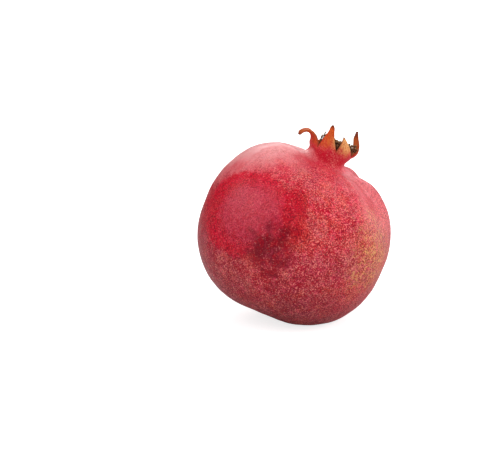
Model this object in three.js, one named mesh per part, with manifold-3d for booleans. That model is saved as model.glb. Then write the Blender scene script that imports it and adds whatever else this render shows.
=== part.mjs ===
// Pomegranate, a whole ripe fruit lying on its stem end with the crown leaning to the right.
// Millimetres, +Z up, floor at z = 0. The fruit is drawn in its own frame, where w runs from the
// stem scar to the crown, and is then leaned, lowered onto the floor and flattened where it rests.
import * as THREE from "three";
import Module from "manifold-3d";

// Body
const HALF_WIDTH = 47.0;
const LOW_HEIGHT = 42.5;
const TOP_HEIGHT = 39.6;
const LOW_POWER = 2.2;
const TOP_POWER = 2.45;
const FACET_LOW = 0.012;
const FACET_MID = 0.026;
const FACET_TOP = 0.05;
const SHOULDER_FURROW = 1.8;
const DIMPLE_DEPTH = 4.5;
const DIMPLE_REACH = 8.5;

// Neck and cup of the crown
const NECK_RADIUS = 9.8;
const NECK_FILLET = 3.8;
const NECK_FILLET_RISE = 3.4;
const NECK_WALL = 4.8;
const RING_FLARE = 1.4;
const SKIRT_REACH = 7.5;
const CROWN_SHIFT = -1.2;
const NECK_TILT = 0.4;
const CROWN_REACH_NEAR = 12;
const CROWN_REACH_FAR = 26;
const CUP_WALL = 2.1;
const CUP_FLOOR = 36.6;
const CUP_CORNER = 1.6;

// How the fruit lies
const LEAN_SIDE = 23;
const LEAN_BACK = 9;
const FLAT_DEPTH = 2.3;
const FLAT_BLEND = 0.8;

// Dried stamens in the cup, on the disc that carries them
const CORE_GAP = 0.45;
const CORE_RADIUS = 6.5;
const CORE_SIDE = 38.6;
const CORE_DOME = 1.8;
const CORE_SIDES = 24;
const FILAMENTS = 60;
const FILAMENT_RADIUS = 0.35;
const ANTHER_RADIUS = 0.62;
const ANTHER_LENGTH = 1.8;
const ROOT_SPREAD = 5.4;
const ROOT_SUNK = 0.9;
const TIP_SPREAD = 7.0;
const TIP_LOW = 45.5;
const TIP_RANGE = 6.5;
const TUFT_TILT = 0.12;
const STYLE_RADIUS = 0.8;
const STYLE_TOP = 49.0;
const GOLDEN_ANGLE = Math.PI * (3 - Math.sqrt(5));

// Clipped stem in the dimple at the low end
const STUB_RADIUS = 2.3;
const STUB_GAP = 0.35;
const STUB_LENGTH = 2.9;
const STUB_SIDES = 18;

// Grid
const COLUMNS_PER_SEPAL = 10;
const BODY_ROWS = 40;
const FILLET_ROWS = 4;
const WALL_ROWS = 2;
const SEPAL_ROWS = 9;

const TURN = 2 * Math.PI;
const RIGHT_ANGLE = Math.PI / 2;
const LAST_GROWN_ROW = 3;

// The six sepals from the left front round to the left back. Azimuths are degrees from the front to
// the right, leans are degrees outward from the crown's axis; full, lift, low and skirt say how the
// ridge of the body below the sepal stands out.
const SEPALS = [
  { azimuth: -59, length: 12.7, leanFoot: 8, leanTip: 152, bendFrom: -0.05, bendTo: 1.1, skew: 0,
    narrow: 0.85, tip: 0.28, roll: 1.0, full: 0.020, lift: 3.7, low: 0.034, skirt: 1.0,
    thick: 2.0, notch: -3.2, facet: 1.0 },
  { azimuth: -13, length: 12.9, leanFoot: 2, leanTip: 6, bendFrom: 0, bendTo: 1, skew: -1.0,
    narrow: 0.88, tip: 0.26, roll: 1.2, full: 0.006, lift: -2.8, low: 0.010, skirt: -3.0,
    thick: 1.6, notch: -2.0, facet: 0.85 },
  { azimuth: 41, length: 8.9, leanFoot: 20, leanTip: -14, bendFrom: 0, bendTo: 1, skew: -5.4,
    narrow: 1.15, tip: 0.12, roll: 0.6, full: 0, lift: -2.4, low: 0, skirt: -2.8,
    thick: 1.5, notch: -1.5, facet: 1.0 },
  { azimuth: 103, length: 15.4, leanFoot: 46, leanTip: -27, bendFrom: 0, bendTo: 0.55, skew: 0,
    narrow: 0.70, tip: 0.22, roll: 1.8, full: 0.008, lift: 1.9, low: 0.014, skirt: 0.4,
    thick: 3.6, notch: -1.6, facet: 0.9 },
  { azimuth: 148, length: 7.0, leanFoot: 4, leanTip: -30, bendFrom: 0, bendTo: 1, skew: 0.4,
    narrow: 1.0, tip: 0.22, roll: 0.8, full: 0.010, lift: 4.8, low: 0.006, skirt: 2.6,
    thick: 1.5, notch: -1.6, facet: 0.8 },
  { azimuth: 212, length: 3.2, leanFoot: 4, leanTip: -26, bendFrom: 0, bendTo: 1, skew: -0.4,
    narrow: 1.0, tip: 0.22, roll: 0.8, full: 0.024, lift: 4.6, low: 0.036, skirt: 0.8,
    thick: 1.5, notch: -1.2, facet: 0.35 },
];

const radians = (degrees) => (degrees * Math.PI) / 180;
const clamp = (value) => Math.min(1, Math.max(0, value));
const mix = (from, to, share) => from + (to - from) * share;

function ease(low, high, value) {
  const share = clamp((value - low) / (high - low));
  return share * share * (3 - 2 * share);
}

const RIDGES = SEPALS.map((sepal) => radians(sepal.azimuth));
const NOTCHES = RIDGES.map((ridge, k) => (ridge + (k < 5 ? RIDGES[k + 1] : RIDGES[0] + TURN)) / 2);

// Which stretch between marks holds the azimuth, and the share of the way along it.
function between(marks, azimuth) {
  const along = (((azimuth - marks[0]) % TURN) + TURN) % TURN;
  let k = marks.length - 1;
  while (k > 0 && marks[k] - marks[0] > along) k -= 1;
  const start = marks[k] - marks[0];
  const end = k < marks.length - 1 ? marks[k + 1] - marks[0] : TURN;
  return [k, (along - start) / (end - start)];
}

// A value given at each mark, carried round by half cosine waves.
function carried(marks, key, azimuth) {
  const [k, share] = between(marks, azimuth);
  const next = (k + 1) % marks.length;
  return mix(SEPALS[k][key], SEPALS[next][key], (1 - Math.cos(Math.PI * share)) / 2);
}

// How deep the flank lies below its two ridges, from 0 on a ridge to 1 half way between.
function facet(azimuth) {
  const [k, share] = between(RIDGES, azimuth);
  const sine = Math.abs(Math.sin(Math.PI * share));
  return (0.55 * sine ** 2 + 0.45 * sine ** 1.25) * SEPALS[k].facet;
}

// Plain profile: q from 0 to 1 is the body from the stem pole, to 2 the blend, to 3 the neck's wall.
function profile(q) {
  const foot = NECK_RADIUS + NECK_FILLET;
  const end = Math.PI - Math.asin((foot / HALF_WIDTH) ** (TOP_POWER / 2));
  const footHeight = TOP_HEIGHT * Math.abs(Math.cos(end)) ** (2 / TOP_POWER);
  if (q > 1) {
    const turned = clamp(q - 1) * RIGHT_ANGLE;
    const up = clamp(q - 2);
    return [
      foot - NECK_FILLET * Math.sin(turned) + RING_FLARE * mix(up, ease(0, 1, up), 0.5),
      footHeight + NECK_FILLET_RISE * (1 - Math.cos(turned)) + NECK_WALL * up,
    ];
  }
  const angle = q * end;
  const below = angle < RIGHT_ANGLE;
  const power = 2 / (below ? LOW_POWER : TOP_POWER);
  const height = below ? -LOW_HEIGHT : TOP_HEIGHT;
  return [
    HALF_WIDTH * Math.abs(Math.sin(angle)) ** power,
    height * Math.abs(Math.cos(angle)) ** power,
  ];
}

// Point of the outer skin in the fruit's own frame.
function skin(q, azimuth) {
  let [rho, w] = profile(q);
  const foot = NECK_RADIUS + NECK_FILLET;
  const hollow = facet(azimuth);
  let depth = mix(FACET_LOW, FACET_MID, ease(-LOW_HEIGHT, 0, w));
  depth += (FACET_TOP - FACET_MID) * ease(4, 33, w);
  if (w > 0) depth *= ease(foot - 1, foot + 8, rho);
  const fullness = carried(RIDGES, "full", azimuth) * ease(10, 40, rho) * ease(-25, 5, w);
  const lowness = carried(RIDGES, "low", azimuth) * ease(5, 25, rho) * ease(0, -30, w);
  const grow = 1 + fullness + lowness;
  const reach = ease(10, 34, w) * ease(foot - 2, foot + 14, rho);
  if (q < 2) w += (carried(RIDGES, "lift", azimuth) - SHOULDER_FURROW * hollow) * reach;
  rho *= (1 - depth * hollow) * grow;
  if (w < 0) w = w * grow + DIMPLE_DEPTH * Math.exp(-((rho / DIMPLE_REACH) ** 2));
  const up = clamp(q - 2);
  if (w > 0) {
    const skirt = Math.exp(-(((rho - NECK_RADIUS) / SKIRT_REACH) ** 2));
    w += carried(RIDGES, "skirt", azimuth) * skirt * (1 - up);
  }
  w += carried(NOTCHES, "notch", azimuth) * up;
  let shift = NECK_TILT * up;
  if (w > 0) shift += CROWN_SHIFT * (1 - ease(CROWN_REACH_NEAR, CROWN_REACH_FAR, rho));
  return new THREE.Vector3(rho * Math.sin(azimuth) + shift, -rho * Math.cos(azimuth), w);
}

// Centreline of a sepal: run outward, run upward and lean at share s of its length.
function spine(sepal, s) {
  const STEPS = 60;
  let out = 0;
  let up = 0;
  const leanAt = (t) =>
    radians(mix(sepal.leanFoot, sepal.leanTip, ease(sepal.bendFrom, sepal.bendTo, t)));
  for (let i = 0; i < STEPS; i += 1) {
    const lean = leanAt((s * (i + 0.5)) / STEPS);
    out += (Math.sin(lean) * sepal.length * s) / STEPS;
    up += (Math.cos(lean) * sepal.length * s) / STEPS;
  }
  return [out, up, leanAt(s)];
}

// Outer and inner point of sepal k at u from -1 to 1 across and s from 0 to 1 along.
function sepalPoints(k, u, s) {
  const sepal = SEPALS[k];
  const ridge = RIDGES[k];
  const before = k === 0 ? NOTCHES[5] - TURN : NOTCHES[k - 1];
  const span = u > 0 ? NOTCHES[k] - ridge : ridge - before;
  const azimuth = ridge + u * span;
  const ring = skin(LAST_GROWN_ROW, azimuth);
  const foot = skin(LAST_GROWN_ROW, ridge);
  const radial = new THREE.Vector3(Math.sin(ridge), -Math.cos(ridge), 0);
  const across = new THREE.Vector3(Math.cos(ridge), Math.sin(ridge), 0);
  const upward = new THREE.Vector3(0, 0, 1);
  const [out, up, lean] = spine(sepal, s);
  const inward = radial.clone().multiplyScalar(-Math.cos(lean)).addScaledVector(upward, Math.sin(lean));
  const radius = NECK_RADIUS + RING_FLARE;
  const falling = 0.3 * clamp(s / sepal.narrow) + 0.7 * ease(0, sepal.narrow, s);
  const width = (1 - (1 - sepal.tip) * falling) * (1 - 0.6 * ease(0.88, 1, s));
  const bow = (1 + sepal.roll * s) / radius;
  const angle = bow * Math.abs(u) * span * radius * width;
  const side = Math.sign(u);
  const sag = (1 - Math.cos(angle)) / bow;
  const rooted = 1 - ease(0, 0.3, s);
  const sagWay = inward.clone().lerp(radial.clone().negate(), rooted);
  const outer = foot
    .clone()
    .addScaledVector(radial, out)
    .addScaledVector(upward, up)
    .addScaledVector(across, sepal.skew * s ** 1.3 + (side * Math.sin(angle)) / bow)
    .addScaledVector(sagWay, sag);
  const baseAngle = Math.abs(u) * span;
  const base = foot
    .clone()
    .addScaledVector(across, side * Math.sin(baseAngle) * radius)
    .addScaledVector(radial, -(1 - Math.cos(baseAngle)) * radius);
  outer.addScaledVector(ring.clone().sub(base), 1 - ease(0, 0.4, s));
  const thin = sepal.thick * (1 - 0.4 * s) * (1 - 0.5 * ease(0.78, 1, s)) * (1 - 0.45 * u ** 4);
  const thickness = mix(thin, CUP_WALL, rooted);
  const toAxis = new THREE.Vector3(-Math.sin(azimuth), Math.cos(azimuth), 0);
  const normal = inward
    .multiplyScalar(Math.cos(angle))
    .addScaledVector(across, -side * Math.sin(angle));
  const way = normal.lerp(toAxis, rooted).normalize();
  return [outer, outer.clone().addScaledVector(way, thickness)];
}

// From the fruit's own frame to the way it lies, before it is flattened on the floor.
const LEAN = new THREE.Matrix4()
  .makeRotationX(-radians(LEAN_BACK))
  .multiply(new THREE.Matrix4().makeRotationY(radians(LEAN_SIDE)));

function restingHeight() {
  let lowest = 0;
  for (let i = 0; i <= 160; i += 1) {
    for (let j = 0; j < 180; j += 1) {
      lowest = Math.min(lowest, skin(i / 320, (j * TURN) / 180).applyMatrix4(LEAN).z);
    }
  }
  return -lowest - FLAT_DEPTH;
}

const REST_HEIGHT = restingHeight();

function settled(point) {
  const placed = point.clone().applyMatrix4(LEAN);
  placed.z += REST_HEIGHT;
  if (placed.z < -FLAT_BLEND) placed.z = 0;
  else if (placed.z < FLAT_BLEND) placed.z = (placed.z + FLAT_BLEND) ** 2 / (4 * FLAT_BLEND);
  return placed;
}

// Collects points and triangles of one closed body.
class Surface {
  constructor() {
    this.points = [];
    this.triangles = [];
  }

  add(point) {
    this.points.push(point);
    return this.points.length - 1;
  }

  triangle(a, b, c) {
    if (a !== b && b !== c && c !== a) this.triangles.push(a, b, c);
  }

  // Four corners seen anticlockwise from outside, split along the shorter diagonal.
  quad(a, b, c, d) {
    const first = this.points[a].distanceTo(this.points[c]);
    const second = this.points[b].distanceTo(this.points[d]);
    if (first <= second) {
      this.triangle(a, b, c);
      this.triangle(a, c, d);
    } else {
      this.triangle(a, b, d);
      this.triangle(b, c, d);
    }
  }

  // A band between two rows of equal length, the second row above the first seen from outside.
  band(lower, upper, closed) {
    const count = closed ? lower.length : lower.length - 1;
    for (let i = 0; i < count; i += 1) {
      const j = (i + 1) % lower.length;
      this.quad(lower[i], lower[j], upper[j], upper[i]);
    }
  }

  fan(row, tip) {
    row.forEach((point, i) => this.triangle(point, row[(i + 1) % row.length], tip));
  }

  mesh(name, color, roughness, place) {
    const geometry = new THREE.BufferGeometry();
    const positions = this.points.flatMap((point) => place(point).toArray());
    geometry.setAttribute("position", new THREE.Float32BufferAttribute(positions, 3));
    geometry.setIndex(this.triangles);
    geometry.computeVertexNormals();
    const mesh = new THREE.Mesh(geometry, new THREE.MeshStandardMaterial({ color, roughness }));
    mesh.name = name;
    return mesh;
  }
}

// Azimuths of the grid: equal steps from notch to notch, each sepal's ridge half way.
function columnAzimuths() {
  const azimuths = [];
  SEPALS.forEach((_, k) => {
    const before = k === 0 ? NOTCHES[5] - TURN : NOTCHES[k - 1];
    for (let i = 0; i < COLUMNS_PER_SEPAL; i += 1) {
      const u = (2 * i) / COLUMNS_PER_SEPAL - 1;
      const span = u > 0 ? NOTCHES[k] - RIDGES[k] : RIDGES[k] - before;
      azimuths.push(RIDGES[k] + u * span);
    }
  });
  return azimuths;
}

// The grown fruit: rind, neck, sepals and the cup inside them as one closed skin.
function makeFruit() {
  const surface = new Surface();
  const azimuths = columnAzimuths();
  const rowAt = (q) => azimuths.map((azimuth) => surface.add(skin(q, azimuth)));
  const rows = [];
  for (let i = 1; i <= BODY_ROWS; i += 1) rows.push(rowAt(i / BODY_ROWS));
  for (let i = 1; i <= FILLET_ROWS; i += 1) rows.push(rowAt(1 + i / FILLET_ROWS));
  for (let i = 1; i <= WALL_ROWS; i += 1) rows.push(rowAt(2 + i / WALL_ROWS));
  const pole = surface.add(skin(0, 0));
  surface.fan([...rows[0]].reverse(), pole);
  for (let i = 1; i < rows.length; i += 1) surface.band(rows[i - 1], rows[i], true);
  const ring = rows[rows.length - 1];

  const innerRing = azimuths.map((azimuth, i) => {
    const k = Math.floor(i / COLUMNS_PER_SEPAL);
    const u = (2 * (i % COLUMNS_PER_SEPAL)) / COLUMNS_PER_SEPAL - 1;
    return surface.add(sepalPoints(k, u, 0)[1]);
  });

  SEPALS.forEach((_, k) => {
    const first = k * COLUMNS_PER_SEPAL;
    const around = (i) => (first + i) % ring.length;
    let outer = Array.from({ length: COLUMNS_PER_SEPAL + 1 }, (_, i) => ring[around(i)]);
    let inner = Array.from({ length: COLUMNS_PER_SEPAL + 1 }, (_, i) => innerRing[around(i)]);
    const last = COLUMNS_PER_SEPAL;
    for (let row = 1; row <= SEPAL_ROWS; row += 1) {
      const pairs = outer.map((_, i) => sepalPoints(k, (2 * i) / last - 1, row / SEPAL_ROWS));
      const nextOuter = pairs.map((pair) => surface.add(pair[0]));
      const nextInner = pairs.map((pair) => surface.add(pair[1]));
      surface.band(outer, nextOuter, false);
      surface.band(nextInner, inner, false);
      if (row === 1) {
        surface.triangle(outer[last], inner[last], nextInner[last]);
        surface.triangle(outer[last], nextInner[last], nextOuter[last]);
        surface.triangle(outer[0], nextInner[0], inner[0]);
        surface.triangle(outer[0], nextOuter[0], nextInner[0]);
      } else {
        surface.quad(outer[last], inner[last], nextInner[last], nextOuter[last]);
        surface.quad(inner[0], outer[0], nextOuter[0], nextInner[0]);
      }
      outer = nextOuter;
      inner = nextInner;
    }
    surface.band(outer, inner, false);
  });

  const mouth = NECK_RADIUS + RING_FLARE - CUP_WALL;
  const cupRow = (share, height) => azimuths.map((azimuth) => {
    const radius = mouth * share;
    return surface.add(new THREE.Vector3(
      radius * Math.sin(azimuth) + CROWN_SHIFT, -radius * Math.cos(azimuth), height));
  });
  const cup = [
    innerRing,
    cupRow(0.84, CUP_FLOOR + 3.2 * CUP_CORNER),
    cupRow(0.83, CUP_FLOOR + CUP_CORNER),
    cupRow(0.8, CUP_FLOOR + 0.45 * CUP_CORNER),
    cupRow(0.7, CUP_FLOOR),
    cupRow(0.4, CUP_FLOOR),
  ];
  for (let i = 1; i < cup.length; i += 1) surface.band(cup[i - 1], cup[i], true);
  const middle = surface.add(new THREE.Vector3(CROWN_SHIFT, 0, CUP_FLOOR));
  surface.fan(cup[cup.length - 1], middle);
  return surface.mesh("fruit", 0xb5303f, 0.45, settled);
}

// Repeatable run of numbers between 0 and 1.
function sequence(seed) {
  let state = seed;
  return () => {
    state = (state * 1664525 + 1013904223) % 4294967296;
    return state / 4294967296;
  };
}

// A closed tube of three or more sides through the given middles, each with its radius.
function addTube(surface, middles, radii, sides) {
  const rows = middles.map((middle, i) => {
    const ahead = middles[Math.min(i + 1, middles.length - 1)];
    const behind = middles[Math.max(i - 1, 0)];
    const along = ahead.clone().sub(behind).normalize();
    const first = new THREE.Vector3(1, 0, 0).cross(along).normalize();
    const second = along.clone().cross(first);
    return Array.from({ length: sides }, (_, j) => {
      const turn = (j * TURN) / sides;
      return surface.add(
        middle.clone()
          .addScaledVector(first, Math.cos(turn) * radii[i])
          .addScaledVector(second, Math.sin(turn) * radii[i]));
    });
  });
  const bottom = surface.add(middles[0].clone());
  const top = surface.add(middles[middles.length - 1].clone());
  surface.fan([...rows[0]].reverse(), bottom);
  for (let i = 1; i < rows.length; i += 1) surface.band(rows[i - 1], rows[i], true);
  surface.fan(rows[rows.length - 1], top);
}

const wasm = await Module();
wasm.setup();

// Closed body from a surface, ready to be joined to others.
function solid(surface) {
  const positions = surface.points.flatMap((point) => point.toArray());
  const mesh = new wasm.Mesh({
    numProp: 3,
    vertProperties: new Float32Array(positions),
    triVerts: new Uint32Array(surface.triangles),
  });
  return new wasm.Manifold(mesh);
}

// The joined body back as a surface.
function surfaceOf(body) {
  const mesh = body.getMesh();
  const surface = new Surface();
  for (let i = 0; i < mesh.vertProperties.length; i += mesh.numProp) {
    surface.add(new THREE.Vector3().fromArray(mesh.vertProperties, i));
  }
  surface.triangles = Array.from(mesh.triVerts);
  return surface;
}

// Body turned about the fruit's axis from rows of radius and height, low end first.
function turned(rows, sides, endLow, endHigh) {
  const surface = new Surface();
  const rings = rows.map(([radius, height]) => Array.from({ length: sides }, (_, j) => {
    const azimuth = (j * TURN) / sides;
    return surface.add(new THREE.Vector3(radius * Math.cos(azimuth), radius * Math.sin(azimuth), height));
  }));
  surface.fan([...rings[0]].reverse(), surface.add(new THREE.Vector3(0, 0, endLow)));
  for (let i = 1; i < rings.length; i += 1) surface.band(rings[i - 1], rings[i], true);
  surface.fan(rings[rings.length - 1], surface.add(new THREE.Vector3(0, 0, endHigh)));
  return surface;
}

function leaned(point) {
  const placed = point.clone().applyMatrix4(LEAN);
  placed.z += REST_HEIGHT;
  return placed;
}

// The tuft: a low domed disc with the dried filaments and the style standing on it, one body.
function makeStamens() {
  const random = sequence(20417);
  const domeAt = (radius) => CORE_SIDE + CORE_DOME * (1 - (radius / CORE_RADIUS) ** 2);
  const bottom = CUP_FLOOR + CORE_GAP;
  const rows = [[CORE_RADIUS - 1, bottom], [CORE_RADIUS, bottom + 1], [CORE_RADIUS, CORE_SIDE]];
  [0.8, 0.45].forEach((share) => rows.push([CORE_RADIUS * share, domeAt(CORE_RADIUS * share)]));
  let body = solid(turned(rows, CORE_SIDES, bottom, domeAt(0)));
  for (let i = 0; i < FILAMENTS; i += 1) {
    const radius = ROOT_SPREAD * Math.sqrt((i + 0.7) / FILAMENTS);
    const azimuth = i * GOLDEN_ANGLE;
    const tipRadius = Math.min(TIP_SPREAD, radius * (1.02 + 0.24 * random()));
    const tipAzimuth = azimuth + (random() - 0.5) * 0.5;
    const tipHeight = TIP_LOW + TIP_RANGE * random();
    const root = new THREE.Vector3(
      radius * Math.cos(azimuth), radius * Math.sin(azimuth), domeAt(radius) - ROOT_SUNK);
    const tip = new THREE.Vector3(
      tipRadius * Math.cos(tipAzimuth) + TUFT_TILT * (tipHeight - CORE_SIDE),
      tipRadius * Math.sin(tipAzimuth), tipHeight);
    const sway = new THREE.Vector3(random() - 0.5, random() - 0.5, 0).multiplyScalar(0.9);
    const anther = 1 - ANTHER_LENGTH / root.distanceTo(tip);
    const shares = [0, 0.3, 0.62, anther, (1 + anther) / 2, 1];
    const middles = shares.map((share) =>
      root.clone().lerp(tip, share).addScaledVector(sway, Math.sin(Math.PI * share)));
    const radii = [1, 1, 0.95, 0.9, ANTHER_RADIUS / FILAMENT_RADIUS, 0.9];
    const filament = new Surface();
    addTube(filament, middles, radii.map((size) => size * FILAMENT_RADIUS), 3);
    body = body.add(solid(filament));
  }
  const style = new Surface();
  const heights = [domeAt(0) - ROOT_SUNK, 43.5, 47, STYLE_TOP - 1.2, STYLE_TOP];
  const bent = [0, 0.3, 0.1, -0.3, -0.4];
  const girth = [1, 0.8, 0.75, 1.25, 0.9];
  addTube(
    style,
    heights.map((height, i) => new THREE.Vector3(
      bent[i] + TUFT_TILT * Math.max(0, height - CORE_SIDE), -bent[i], height)),
    girth.map((size) => size * STYLE_RADIUS),
    6);
  body = body.add(solid(style));
  const shift = new THREE.Vector3(CROWN_SHIFT, 0, 0);
  return surfaceOf(body).mesh("stamens", 0x5a3228, 0.85, (point) => leaned(point.clone().add(shift)));
}

// The woody stub where the fruit was clipped from the twig, with a slightly hollow cut end.
function makeStemStub() {
  const seat = skin(0, 0).z - STUB_GAP;
  const end = seat - STUB_LENGTH;
  const rows = [
    [0.82, end - 0.1],
    [0.98, end + 0.25],
    [0.92, end + 1.0],
    [1.0, seat - 1.1],
    [0.88, seat - 0.5],
  ].map(([share, height]) => [share * STUB_RADIUS, height]);
  const stub = turned(rows, STUB_SIDES, end + 0.15, seat);
  return stub.mesh("stem_stub", 0x6b4a35, 0.9, leaned);
}

const pomegranate = new THREE.Group();
pomegranate.name = "pomegranate";
pomegranate.add(makeFruit(), makeStamens(), makeStemStub());

export default pomegranate;
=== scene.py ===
"""Whole pomegranate lying on its lower flank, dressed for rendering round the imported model.

The fruit's skin, neck, sepals and cup are one closed surface worked out with numpy from the same
named values as the part's source, only finer. Lengths in this file are millimetres until a piece
is made, and metres in Blender.
"""

import logging
import math
from dataclasses import dataclass, field
from enum import Enum
from functools import reduce

import bpy
import numpy as np
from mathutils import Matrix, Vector

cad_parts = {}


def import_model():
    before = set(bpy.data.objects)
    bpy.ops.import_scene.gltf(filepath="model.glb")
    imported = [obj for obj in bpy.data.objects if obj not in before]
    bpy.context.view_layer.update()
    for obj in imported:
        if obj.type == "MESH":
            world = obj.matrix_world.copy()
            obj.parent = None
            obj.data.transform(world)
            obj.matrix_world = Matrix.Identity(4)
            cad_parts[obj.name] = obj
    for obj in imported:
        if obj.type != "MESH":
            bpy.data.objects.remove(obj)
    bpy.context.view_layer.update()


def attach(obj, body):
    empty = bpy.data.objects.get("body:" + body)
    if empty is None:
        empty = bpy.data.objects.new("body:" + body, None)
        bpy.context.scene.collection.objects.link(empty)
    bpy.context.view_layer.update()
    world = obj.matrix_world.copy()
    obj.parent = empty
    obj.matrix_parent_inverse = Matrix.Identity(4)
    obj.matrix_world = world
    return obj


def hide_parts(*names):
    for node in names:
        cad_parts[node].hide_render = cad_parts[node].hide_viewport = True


log = logging.getLogger("pomegranate")

TURN = 2 * math.pi
METRE = 0.001
Array = np.ndarray
Socket = bpy.types.NodeSocket
Colour = tuple[int, int, int]
Triple = tuple[float, float, float]
Span = tuple[float, float]


def ease(low: float, high: float, value: Array) -> Array:
    """Smooth step: 3 t squared minus 2 t cubed, t being the share of the way from low to high.

    Args:
        low: value where the step starts.
        high: value where the step ends; below low for a falling step.
        value: values to read.

    Returns:
        Shares from 0 to 1.
    """
    t = np.clip((np.asarray(value, float) - low) / (high - low), 0.0, 1.0)
    return t * t * (3.0 - 2.0 * t)


def paint(red: int, green: int, blue: int) -> tuple[float, float, float, float]:
    """Colour for a shader socket from the 0 to 255 numbers that a screen shows.

    Args:
        red: red share.
        green: green share.
        blue: blue share.

    Returns:
        Linear red, green and blue, and 1.
    """
    shares = [c / 255 for c in (red, green, blue)]
    linear = [c / 12.92 if c < 0.04045 else ((c + 0.055) / 1.055) ** 2.4 for c in shares]
    return (*linear, 1.0)


class Slot(Enum):
    """Material slots of the record."""

    RIND = "rind"
    STAMENS = "dried_stamens"
    STEM = "woody_stem"


@dataclass(frozen=True)
class Sepal:
    """One sepal of the crown, and the ridge of the body that runs down from it.

    Angles are degrees, the azimuth from the front to the right and the leans outward from the crown's
    axis. Length, skew, lift, skirt, thick, notch and wave are millimetres; the rest are shares.
    """

    azimuth: float
    length: float
    lean_foot: float
    lean_tip: float
    bend_from: float
    bend_to: float
    skew: float
    narrow: float
    tip: float
    roll: float
    full: float
    lift: float
    low: float
    skirt: float
    thick: float
    notch: float
    facet: float
    dry: float
    wave: float


SEPALS = (
    Sepal(-59, 12.7, 8, 152, -0.05, 1.1, 0.0, 0.85, 0.28, 1.0, 0.020, 3.7, 0.034, 1.0, 2.0,
          -3.2, 1.0, 0.30, 0.25),
    Sepal(-13, 12.9, 2, 6, 0.0, 1.0, -1.0, 0.88, 0.26, 1.2, 0.006, -2.8, 0.010, -3.0, 1.6,
          -2.0, 0.85, 0.46, 0.20),
    Sepal(41, 8.9, 20, -14, 0.0, 1.0, -5.4, 1.15, 0.12, 0.6, 0.0, -2.4, 0.0, -2.8, 1.5,
          -1.5, 1.0, 0.34, 0.20),
    # The fourth sepal's high dryness browns and darkens it: partly its own dry colour, partly painted
    # shade on its inner face.
    Sepal(103, 15.4, 46, -27, 0.0, 0.55, 0.0, 0.70, 0.22, 1.8, 0.008, 1.9, 0.014, 0.4, 3.6,
          -1.6, 0.9, 0.78, 0.30),
    Sepal(148, 7.0, 4, -30, 0.0, 1.0, 0.4, 1.00, 0.22, 0.8, 0.010, 4.8, 0.006, 2.6, 1.5,
          -1.6, 0.8, 0.4, 0.35),
    Sepal(212, 3.2, 4, -26, 0.0, 1.0, -0.4, 1.00, 0.22, 0.8, 0.024, 4.6, 0.036, 0.8, 1.5,
          -1.2, 0.35, 0.3, 0.35),
)


def around(radius: Array, azimuth: Array, height: Array) -> Array:
    """Points at a radius and height round the axis, azimuth counted from the right to the back."""
    radius, azimuth, height = np.broadcast_arrays(radius, azimuth, height)
    return np.stack([radius * np.cos(azimuth), radius * np.sin(azimuth), height], -1)


def of_sepals(key: str) -> Array:
    """The named value of every sepal, in order round the crown."""
    return np.array([getattr(sepal, key) for sepal in SEPALS], float)


def between(marks: Array, azimuth: Array) -> tuple[Array, Array]:
    """Which stretch between marks holds each azimuth, and the share of the way along it.

    Args:
        marks: rising azimuths in radians, once round.
        azimuth: azimuths to place.

    Returns:
        Number of the mark before, and share from 0 to 1 to the mark after.
    """
    along = (azimuth - marks[0]) % TURN
    edges = np.append(marks - marks[0], TURN)
    k = np.clip(np.searchsorted(edges, along, side="right") - 1, 0, len(marks) - 1)
    return k, (along - edges[k]) / (edges[k + 1] - edges[k])


def carried(marks: Array, values: Array, azimuth: Array) -> Array:
    """A value given at each mark, carried round by half cosine waves.

    Args:
        marks: rising azimuths in radians, once round.
        values: value at each mark.
        azimuth: where to read it.

    Returns:
        The value at each azimuth.
    """
    k, share = between(marks, azimuth)
    blend = (1 - np.cos(np.pi * share)) / 2
    ring = np.append(values, values[0])
    return ring[k] * (1 - blend) + ring[k + 1] * blend


@dataclass(frozen=True)
class Ripple:
    """Smooth random relief: plane sine waves of about one length, in random directions."""

    length: float
    height: float
    waves: int
    seed: int

    def at(self, points: Array) -> Array:
        """Height of the relief at each point, about half of height either way.

        Args:
            points: places in millimetres, last axis x, y, z.

        Returns:
            Heights in millimetres.
        """
        rng = np.random.default_rng(self.seed)
        ways = rng.normal(size=(self.waves, 3))
        ways /= np.linalg.norm(ways, axis=1, keepdims=True)
        numbers = TURN / (self.length * rng.uniform(0.7, 1.5, self.waves))
        starts = rng.uniform(0, TURN, self.waves)
        angles = points @ (ways * numbers[:, None]).T + starts
        return self.height * np.sin(angles).sum(-1) / math.sqrt(self.waves)


@dataclass(frozen=True)
class SepalDetail:
    """What all sepals share: how they narrow, wave, thin out and grow from the ring.

    A reach is the share of the length over which something fades in or out.
    """

    steps: int = 200
    even: float = 0.3
    round_reach: Span = (0.88, 1.0)
    round_by: float = 0.6
    skew_power: float = 1.3
    root_reach: float = 0.3
    slide_reach: float = 0.4
    wave_reach: float = 0.35
    wave_power: int = 3
    wave_turn: float = 9.0
    wave_apart: float = 2.4
    wave_sides: float = 1.3
    vein_height: float = 0.05
    vein_turn: float = 14.0
    vein_reach: Span = (0.02, 0.3)
    vein_loss: float = 0.5
    length_thin: float = 0.4
    end_thin: float = 0.5
    end_reach: Span = (0.78, 1.0)
    margin_thin: float = 0.62
    margin_power: int = 6


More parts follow.
